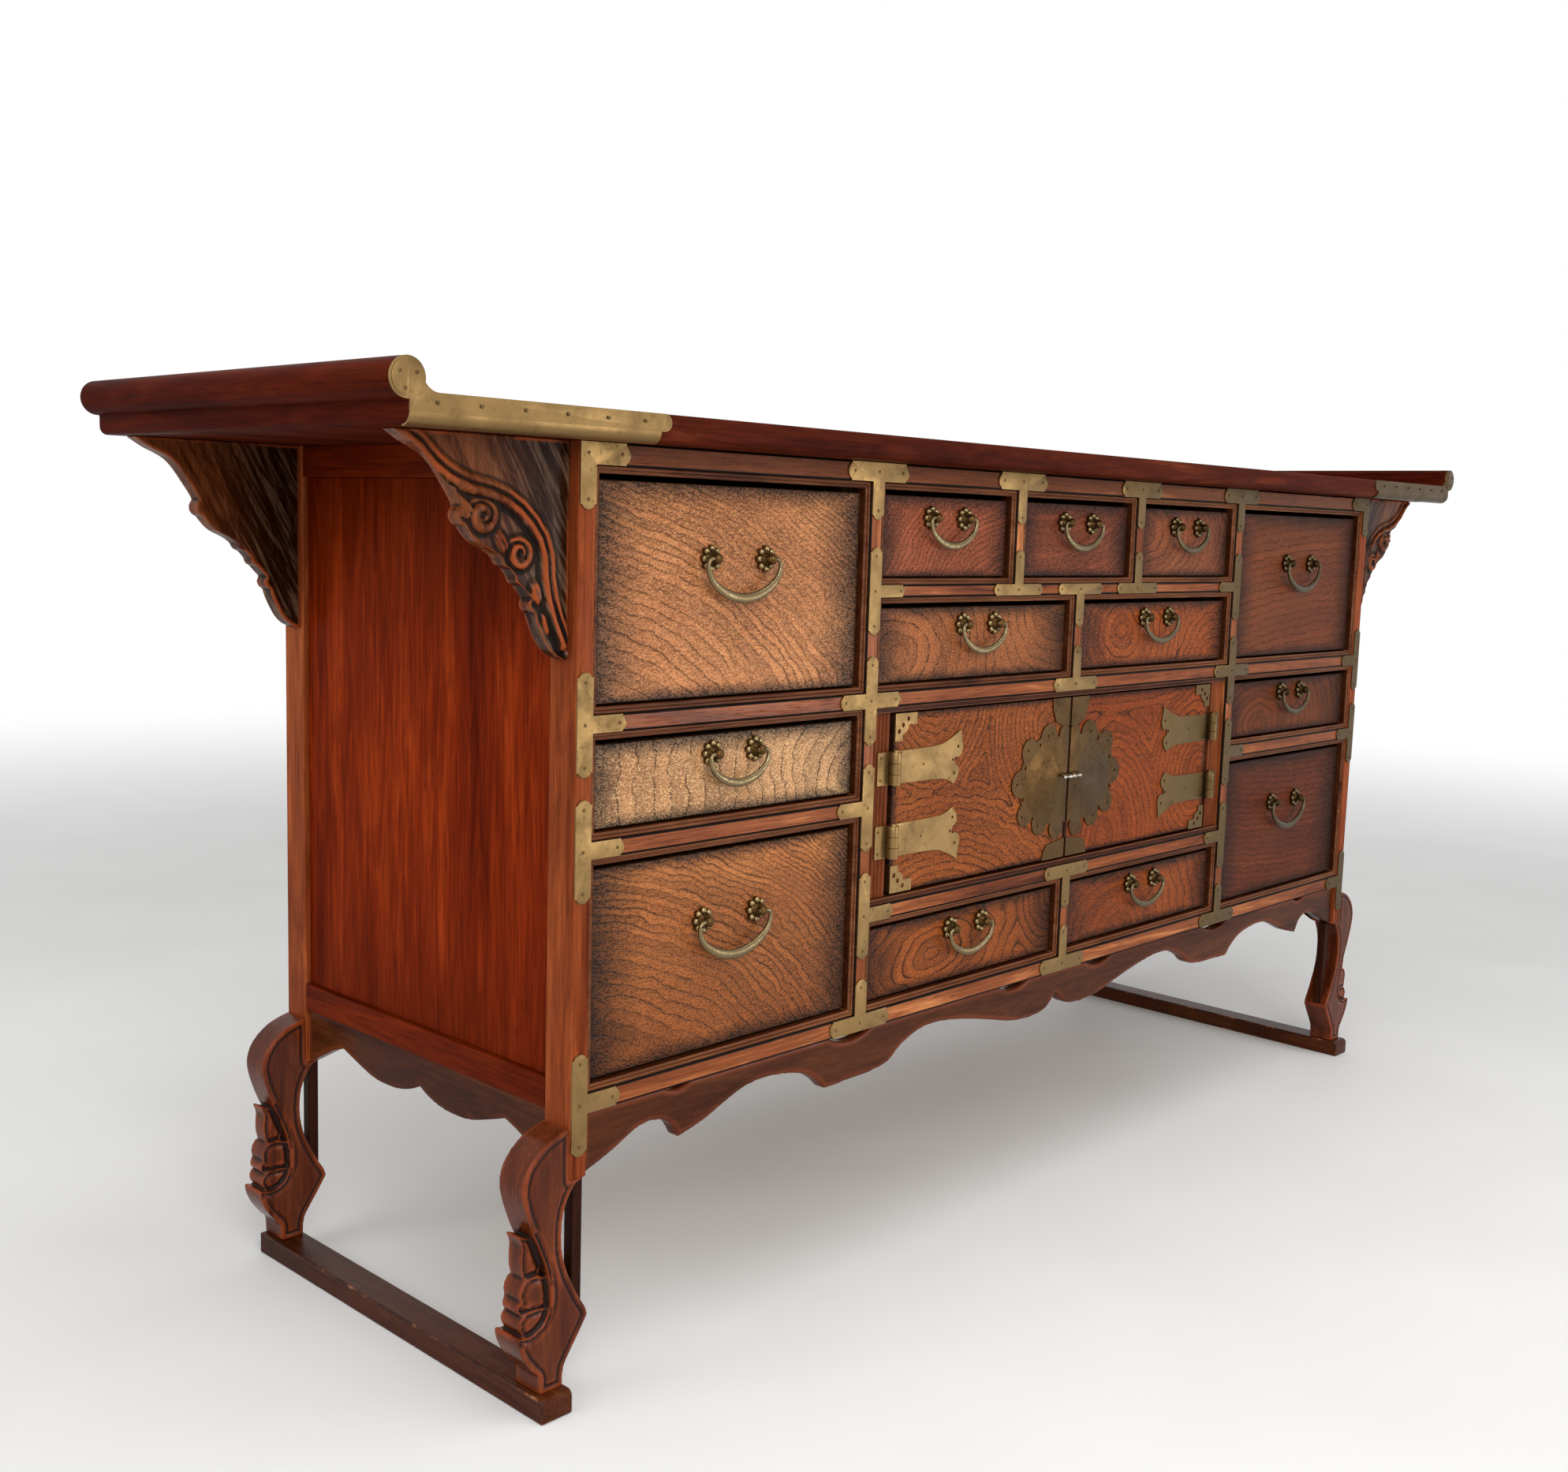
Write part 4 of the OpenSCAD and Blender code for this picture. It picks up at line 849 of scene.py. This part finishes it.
FRONTS = {
    # bay: stain, sheen, seed, painted glare and shade, reach of the painted edge shade, figure
    # stains: paler on the left, darker on the right; partly the elm's own tone, partly painted light falling
    # off
    "left_top": ("#a5683e", 0.14, 3, (0.02, -0.16), (34, 36, 12, 8),
        (-1.2, -1.9, 1.5, -12, 0.058, 2.0, 0.0035, 0.042, 0.8)),
    "left_mid": ("#b28257", 0.16, 8, (0.22, 0.05), (20, 24, 10, 8),
        (1.05, -0.35, 1.0, 0, 0.0105, 0.86, 0.005, -0.03, 1.1)),
    "left_low": ("#874b24", 0.12, 14, (0.16, 0.5), (38, 36, 8, 10),
        (-1.1, -1.8, 1.5, -12, 0.056, 2.0, 0.004, 0.045, 0.95)),
    "right_top": ("#6b341a", 0.08, 21, (-0.05, 0.05), (32, 34, 14, 8),
        (0.3, -3.5, 2.5, 4, 0.010, 1.0, 0.004, 0.04, 0.7)),
    "right_mid": ("#622e12", 0.08, 23, (0, 0), (28, 50, 10, 7),
        (-0.5, -0.6, 1.8, 0, 0.009, 1.0, 0.004, 0.04, 0.75)),
    "right_low": ("#59250e", 0.08, 29, (0, -0.05), (34, 50, 12, 8),
        (0.1, 3.2, 2.5, -3, 0.008, 1.0, 0.004, 0.04, 0.6)),
    "small_left": ("#89452a", 0.1, 31, (0, 0), (24, 24, 10, 6),
        (1.3, -3.4, 1.1, 0, 0.0085, 1.1, 0.004, 0.04, 0.8)),
    "small_mid": ("#703620", 0.1, 37, (0, 0), (22, 28, 10, 6),
        (-0.8, 4.0, 1.5, 0, 0.007, 1.0, 0.003, 0.04, 0.65)),
    "small_right": ("#7a4026", 0.1, 41, (0, 0), (20, 22, 10, 6),
        (-0.9, 0.3, 1.5, 0, 0.009, 1.0, 0.003, 0.04, 0.8)),
    "pair_left": ("#8d502b", 0.1, 43, (-0.1, 0), (32, 44, 9, 7),
        (-0.85, -0.3, 1.25, 0, 0.0125, 0.95, 0.006, -0.034, 1.1, (0.95, 1.6, 0.02))),
    "pair_right": ("#863f18", 0.1, 47, (-0.08, 0), (38, 26, 9, 7),
        (-0.45, 0.1, 1.1, 0, 0.011, 1.0, 0.005, -0.03, 1.15, (0.9, -1.4, 0.03))),
    "low_left": ("#824017", 0.1, 53, (-0.05, 0), (34, 38, 9, 7),
        (-0.3, -0.1, 1.9, 6, 0.0085, 0.95, 0.005, -0.03, 1.3, (1.0, 0.9, 0.01))),
    "low_right": ("#7c3812", 0.1, 59, (0, 0), (30, 34, 9, 7),
        (-0.3, -0.9, 1.6, 0, 0.0105, 1.0, 0.005, -0.03, 1.0)),
}
DOORS = {
    "left": ("#85431a", 0.08, 61, (0, 0.06), (7, 5, 5, 4),
        (-0.5, -1.5, 1.7, 0, 0.0125, 1.15, 0.005, 0.034, 1.1, (0.75, 0.7, 0.035), (-0.6, 1.15, 0.045))),
    "right": ("#803810", 0.08, 67, (0, 0.04), (5, 7, 5, 4),
        (0.1, 2.4, 2.8, 4, 0.0135, 1.1, 0.005, 0.04, 1.2, (-0.5, -0.9, 0.0), (0.9, -0.2, 0.02))),
}
BIG_BAYS = ["left_top", "left_low", "right_top", "right_low"]


class SIDEBOARD_OT_drawers(bpy.types.Operator):
    """Gives each drawer an elm front with its own figure, and a plain box behind it"""
    bl_idname = "sideboard.drawers"
    bl_label = "Drawers"

    def execute(self, context):
        box_wood = woods("drawer_box_wood", shade("#a9845a"), gloss=0.55, sheen=0.15)
        for bay, front in FRONTS.items():
            node = "drawer_" + bay

            def choose(low, high, first=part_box(node)[0].y):
                return EXTRA if low.y < first + 2 * MM else longest(low, high)

            wood = elm_front("elm_" + bay, node, *front)
            piece = dressed(node, box_wood + [wood], sizes().edge_round * 1.3, choose)
        return {"FINISHED"}


# Distance and radius along a lock pin in millimetres, and the height of the two pins
PIN_PROFILE = [(0.5, 0.6), (1.2, 1.7), (2.6, 2.3), (4.4, 2.3), (5.8, 1.5), (12.5, 1.4), (14.0, 2.2),
               (16.0, 2.2), (17.2, 0.8)]
PIN_Z = 481.5


def lock_pin(name, tip, way):
    """One of the two small bright pins that meet over the doors' gap."""
    y = CASE_FRONT - 2.7 * MM
    rings = [[(tip + way * along * MM, y + radius * MM * cosine, (PIN_Z + radius * sine) * MM)
              for sine, cosine in ring_of()] for along, radius in PIN_PROFILE]
    piece = new_piece(name, tube(name, rings))
    metal = shared("pin", lambda: brass_finish("pin_metal", shade("#b9b4a8"), shade("#5d5850"), 0.28, 0.3))
    piece.data.materials.append(metal)
    return piece


class SIDEBOARD_OT_doors(bpy.types.Operator):
    """Finishes the two doors with their straps, lock plate and corner plates"""
    bl_idname = "sideboard.doors"
    bl_label = "Doors"

    def execute(self, context):
        for side, way in (("left", -1), ("right", 1)):
            node = "door_" + side
            wood = elm_front("elm_door_" + side, node, *DOORS[side])
            dressed(node, [wood], sizes().edge_round)
            plates = "door_plates_" + side
            low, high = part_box(plates)
            inner = low.x if way > 0 else high.x

            def choose(board_low, board_high, limit=(inner * way + 0.08), way=way):
                return int((board_low.x + board_high.x) / 2 * way < limit)

            pin = lock_pin("lock_pin_" + side, inner - way * 2 * MM, way)
            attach(pin, "door_" + side)
            brass = [bright_brass(), dark_brass()]
            dressed(plates, brass, sizes().plate_edge, choose, merge=False)
        return {"FINISHED"}


# Plates and nails

HINGE_Z, HINGE_APART = 479.5, 37
CAP_INSET = 0.8 * MM  # how far the caps' skin lies behind their solid, so that their nails stay inside it


class SIDEBOARD_OT_brasswork(bpy.types.Operator):
    """Finishes the flat brass plates and drives their nails"""
    bl_idname = "sideboard.brasswork"
    bl_label = "Brass plates and nails"

    def execute(self, context):
        pieces = {node: dressed(node, [bright_brass()], sizes().plate_edge, merge=False)
                  for node in ("top_plates", "frame_plates", "case_hinge_leaves")}
        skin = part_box("top_plates")[0].y
        for point in pieces["top_plates"].data.vertices:
            if point.co.y < skin + 0.5 * MM:
                point.co.y += CAP_INSET
        spots = plate_nails(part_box("frame_plates")[0].y) + cap_nails(skin + CAP_INSET)
        leaf_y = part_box("front_rails")[0].y + 3.4 * MM

        def hinge_nails(side, places):
            return [(side * x * MM, leaf_y, (HINGE_Z + way * (HINGE_APART + dz)) * MM)
                    for way in (1, -1) for x, dz in places]

        for side in (1, -1):
            spots += hinge_nails(side, ((330, 11), (330, -11), (323, 0)))
        nailed("case_nails", "case", spots)
        for side, body in ((-1, "door_left"), (1, "door_right")):
            nailed("strap_nails_" + body, body, hinge_nails(side, ((300, 11), (300, -11), (262, 0))))
        return {"FINISHED"}


def nail_tree():
    """Puts a domed nail head, facing the front, on each point."""
    tree = bpy.data.node_groups.new("nail_heads", "GeometryNodeTree")
    for label, kind in (("Geometry", "Geometry"), ("Head radius", "Float"), ("Head height", "Float"),
                        ("Brass", "Material")):
        tree.interface.new_socket(label, in_out="INPUT", socket_type="NodeSocket" + kind)
    tree.interface.new_socket("Geometry", in_out="OUTPUT", socket_type="NodeSocketGeometry")
    n = Nodes(tree)
    given = n.add("NodeGroupInput").outputs
    dome = n.get("GeometryNodeMeshUVSphere", {"Segments": 14, "Rings": 8, "Radius": 1.0})
    radius = given["Head radius"]
    size = n.get("ShaderNodeCombineXYZ", {0: radius, 1: given["Head height"], 2: radius})
    heads = n.get("GeometryNodeInstanceOnPoints", {
        "Points": given["Geometry"], "Instance": dome, "Scale": size})
    heads = n.get("GeometryNodeRealizeInstances", {0: heads})
    heads = n.get("GeometryNodeSetShadeSmooth", {"Geometry": heads})
    heads = n.get("GeometryNodeSetMaterial", {"Geometry": heads, "Material": given["Brass"]})
    n.add("NodeGroupOutput", {0: heads})
    return tree


def nailed(name, body, points, radius=None, height=0.5, brass=None):
    """Nail heads or beads at points, as one piece on a body."""
    radius = radius or sizes().nail_radius
    brass = brass or shared("nail", lambda: brass_finish(
        "nail_brass", deeper(colour_of("brass"), 0.5), shade("#2c2014"), 0.34, 0.7))
    mesh = bpy.data.meshes.new(name)
    mesh.from_pydata(points, [], [])
    piece = new_piece(name, mesh)
    maker = piece.modifiers.new("Repeat", "NODES")
    maker.node_group = shared("nail_tree", nail_tree)
    values = {"Head radius": radius, "Head height": radius * height, "Brass": brass}
    for item in maker.node_group.interface.items_tree:
        if item.in_out == "INPUT" and item.name in values:
            maker[item.identifier] = values[item.name]
    bake(piece)
    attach(piece, body)
    return piece


# Joints of the front frame in millimetres: middle, width of the upright, height of the rail, and the arms
ARM = 36
POST_X, STILE_X, DIVIDER_X = 711, 353, 118
TOP_Z, THIN_Z, TWO_Z, THREE_Z, DOOR_Z, LOW_Z = 805.25, 692, 586, 481, 373, 265
PLATES = [
    (POST_X, TOP_Z, 18, 19.5, "id"), (POST_X, TWO_Z, 18, 16, "iud"), (POST_X, THREE_Z, 18, 16, "iud"),
    (POST_X, LOW_Z, 18, 18, "iud"), (STILE_X, TOP_Z, 18, 19.5, "oid"), (STILE_X, THIN_Z, 18, 13, "iud"),
    (STILE_X, TWO_Z, 18, 16, "oiud"), (STILE_X, THREE_Z, 18, 16, "oud"), (STILE_X, DOOR_Z, 18, 16, "iud"),
    (STILE_X, LOW_Z, 18, 18, "oiu"), (DIVIDER_X, TOP_Z, 16, 19.5, "oid"), (DIVIDER_X, THIN_Z, 16, 13, "oiu"),
    (0, THIN_Z, 16, 13, "oid"), (0, TWO_Z, 16, 16, "oiu"), (0, DOOR_Z, 16, 16, "oid"),
    (0, LOW_Z, 16, 18, "oiu"),
]


def plate_nails(face_y):
    """Nails of the frame's plates: one at the crossing and one at the end of each arm."""
    spots = []
    for x, z, wide, high, arms in PLATES:
        here = [(0.0, 0.0)]
        for arm in arms:
            along, across = (wide, high) if arm in "oi" else (high, wide)
            reach = along / 2 + ARM - across * 0.5
            here.append({"o": (reach, 0), "i": (-reach, 0), "u": (0, reach), "d": (0, -reach)}[arm])
        for side in ((1, -1) if x else (1,)):
            spots += [((x + dx) * side * MM, face_y, (z + dz) * MM) for dx, dz in here]
    return spots


def cap_nails(face_y):
    """Nails along the brass caps of the top and on the disc over each roll's end."""
    spots = [(-905 + 8 * math.cos(a), 847 + 8 * math.sin(a)) for a in (0.5, 2.6, 4.4)]
    spots += [(x, 831) for x in (-880, -842, -802, -762, -722, -684)]
    return [(side * x * MM, face_y, z * MM) for x, z in spots for side in (1, -1)]


# Pulls

PIN_RADIUS = 1.9 * MM
BEAD_CIRCLE, BEAD_RADIUS, BEADS = 8.9 * MM, 3.0 * MM, 8
ROSETTE_RADIUS = 12 * MM


def bail_line(half, end_r, side_r, steps=16):
    """Middle line of a bail in its own plane, from its left pin round to its right one."""
    low_angle = math.radians(50)
    low_r = side_r + (half - side_r) / math.cos(low_angle)
    low_z = (half - side_r) * math.tan(low_angle) - end_r
    right = []
    for x, z, radius, start, stop, count in ((half - end_r, -end_r, end_r, math.pi / 2, 0, steps),
                                             (half - side_r, -end_r, side_r, 0, -low_angle, steps),
                                             (0, low_z, low_r, -low_angle, -math.pi / 2, 2 * steps)):
        for i in range(1 if right else 0, count + 1):
            a = start + (stop - start) * i / count
            right.append((x + radius * math.cos(a), z + radius * math.sin(a)))
    return [(-x, z) for x, z in right[:-1]] + [(x, z) for x, z in reversed(right)]


def bail_mesh(name, centre, pin, half, end_r, side_r, thick):
    """A bail: round pins, thin shoulders and a broad flattened bow that is thickest in its middle."""
    line = [(-pin, 0.0)] + bail_line(half, end_r, side_r) + [(pin, 0.0)]
    lengths = [0.0]
    for a, b in zip(line, line[1:]):
        lengths.append(lengths[-1] + math.dist(a, b))
    rings = []
    for i, (x, z) in enumerate(line):
        before, after = line[max(i - 1, 0)], line[min(i + 1, len(line) - 1)]
        along = Vector((after[0] - before[0], after[1] - before[1])).normalized()
        share = min(max((lengths[i] / lengths[-1] - 0.12) / 0.76, 0), 1)
        bow = max(0.0, math.sin(math.pi * share)) ** 0.8
        high = PIN_RADIUS + (thick - PIN_RADIUS) * bow
        deep = PIN_RADIUS + (thick * 0.62 - PIN_RADIUS) * bow
        rings.append([(centre.x + x - along.y * high * cosine, centre.y + deep * sine,
                       centre.z + z + along.x * high * cosine) for sine, cosine in ring_of()])
    return tube(name, rings)


class SIDEBOARD_OT_pulls(bpy.types.Operator):
    """Makes the swinging bails and finishes their beaded rosettes"""
    bl_idname = "sideboard.pulls"
    bl_label = "Pulls"

    def execute(self, context):
        stippled = brass_finish("bail_brass", shade("#7b6a4c"), shade("#332919"), 0.24, 0.4, 1.2)
        beaded = brass_finish("bead_brass", shade("#917c55"), shade("#241a10"), 0.16, 0.5)
        for bay in FRONTS:
            dressed("rosettes_" + bay, [dark_brass()], 0)
            low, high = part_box("rosettes_" + bay)
            beads = []
            for middle in (low.x + ROSETTE_RADIUS, high.x - ROSETTE_RADIUS):
                for i in range(BEADS):
                    a = 2 * math.pi * i / BEADS
                    beads.append((middle + BEAD_CIRCLE * math.cos(a), high.y - 2.6 * MM,
                                  (low.z + high.z) / 2 + BEAD_CIRCLE * math.sin(a)))
            nailed("rosette_beads_" + bay, "tray_" + bay, beads, BEAD_RADIUS, 0.95, beaded)
            low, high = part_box("bail_" + bay)
            big = bay in BIG_BAYS
            sized = (34, 11, 5.5, 20, 1.0) if big else (27, 9.5, 4.2, 16, 0.84)
            post, shoulder, end_r, side_r, share = sized
            centre = Vector(((low.x + high.x) / 2, (low.y + high.y) / 2, high.z - 2 * MM))
            name = "bail_" + bay + "_bow"
            mesh = bail_mesh(name, centre, (post - 5) * MM, (post + shoulder) * MM, end_r * MM, side_r * MM,
                             sizes().bail_thick * share)
            mesh.materials.append(stippled)
            piece = new_piece(name, mesh)
            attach(piece, "pull_" + bay)
            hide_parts("bail_" + bay)
        return {"FINISHED"}


# Stage

PHOTO_WIDTH = 1988
FOCAL = 2114  # focal length in pixels of the photograph
SENSOR = 36


def lamp(name, place, target, width, height, power):
    data = bpy.data.lights.new(name, "AREA")
    data.shape = "RECTANGLE"
    data.size, data.size_y = width, height
    data.energy = power
    light = bpy.data.objects.new(name, data)
    light.location = place
    light.rotation_euler = (Vector(target) - Vector(place)).to_track_quat("-Z", "Y").to_euler()
    bpy.context.scene.collection.objects.link(light)


class SIDEBOARD_OT_stage(bpy.types.Operator):
    """Sets up the pale floor, the soft light and the camera"""
    bl_idname = "sideboard.stage"
    bl_label = "Stage, light and camera"

    def execute(self, context):
        scene = context.scene
        scene.view_settings.view_transform = "Standard"
        world = bpy.data.worlds.new("studio_air")
        scene.world = world
        world.use_nodes = True
        air = Nodes(world.node_tree)
        strength = air.get("ShaderNodeMapRange", {"Value": air.seen(), "To Min": 0.5, "To Max": 1.0})
        sky = air.get("ShaderNodeBackground", {"Color": (1, 1, 1, 1), "Strength": strength})
        air.add("ShaderNodeOutputWorld", {"Surface": sky})

        bm = bmesh.new()
        bmesh.ops.create_grid(bm, x_segments=1, y_segments=1, size=12)
        mesh = settled(bm, "studio_floor")
        r = Recipe("floor_paint")
        cloud = r.noise(r.place, 3.0, 3.0, 0.5)
        r.done(r.ramp(cloud, [(0.3, (0.76, 0.76, 0.75, 1)), (0.7, (0.80, 0.80, 0.79, 1))]), 0.6)
        far = r.length(*r.axes()[:2])
        white = r.get("ShaderNodeEmission", {"Color": (1, 1, 1, 1), "Strength": 1.0})
        mixed = r.get("ShaderNodeMixShader", {
            0: r.seen() * r.between(far, 1.7, 5.0), 1: r.shader.outputs[0], 2: white})
        r.feed(r.output.inputs["Surface"], mixed)
        mesh.materials.append(r.material)
        new_piece("studio_floor", mesh)

        lamp("window_left", (-1.7, -2.3, 1.7), (-0.45, -0.1, 0.45), 1.6, 1.4, 44)
        lamp("soft_left", (-3.2, 0.3, 1.9), (-0.7, 0.1, 0.5), 1.6, 1.6, 24)
        lamp("soft_above", (-0.4, -0.9, 3.2), (0, 0, 0.4), 3.0, 2.4, 44)
        lamp("low_glow", (1.25, -2.15, 0.42), (-0.45, -0.2, 0.52), 0.8, 0.5, 13)

        yaw, pitch, roll = (math.radians(a) for a in (46.70, 7.18, 1.70))
        level = math.cos(pitch)
        ahead = Vector((math.sin(yaw) * level, math.cos(yaw) * level, -math.sin(pitch)))
        right = Vector((math.cos(yaw), -math.sin(yaw), 0))
        right = math.cos(roll) * right + math.sin(roll) * right.cross(ahead)
        data = bpy.data.cameras.new("camera")
        data.sensor_width = SENSOR
        data.lens = FOCAL / PHOTO_WIDTH * SENSOR
        data.clip_start, data.clip_end = 0.01, 60
        camera = bpy.data.objects.new("camera", data)
        pose = Matrix((right, right.cross(ahead), -ahead)).transposed().to_4x4()
        pose.translation = (-1.5793, -1.2475, 0.7519)
        camera.matrix_world = pose
        scene.collection.objects.link(camera)
        scene.camera = camera
        return {"FINISHED"}


class SIDEBOARD_PT_panel(bpy.types.Panel):
    """Lists the steps that finish the sideboard"""
    bl_label = "Pagoda sideboard"
    bl_idname = "SIDEBOARD_PT_panel"
    bl_space_type = "VIEW_3D"
    bl_region_type = "UI"
    bl_category = "Sideboard"

    def draw(self, context):
        for group in (context.scene.sideboard_sizes, context.scene.sideboard_colours):
            for key in group.__annotations__:
                self.layout.prop(group, key)
        for step in STEPS:
            self.layout.operator(step.bl_idname)


STEPS = (SIDEBOARD_OT_stage, SIDEBOARD_OT_top, SIDEBOARD_OT_case, SIDEBOARD_OT_stand, SIDEBOARD_OT_drawers,
         SIDEBOARD_OT_doors, SIDEBOARD_OT_brasswork, SIDEBOARD_OT_pulls)
CLASSES = (SideboardSizes, SideboardColours) + STEPS + (SIDEBOARD_PT_panel,)


def register():
    for cls in CLASSES:
        bpy.utils.register_class(cls)
    bpy.types.Scene.sideboard_sizes = PointerProperty(type=SideboardSizes)
    bpy.types.Scene.sideboard_colours = PointerProperty(type=SideboardColours)


def unregister():
    del bpy.types.Scene.sideboard_colours
    del bpy.types.Scene.sideboard_sizes
    for cls in reversed(CLASSES):
        bpy.utils.unregister_class(cls)


def main():
    register()
    for step in STEPS:
        name = step.bl_idname.split(".")[1]
        getattr(bpy.ops.sideboard, name)()


if __name__ == "__main__":
    main()
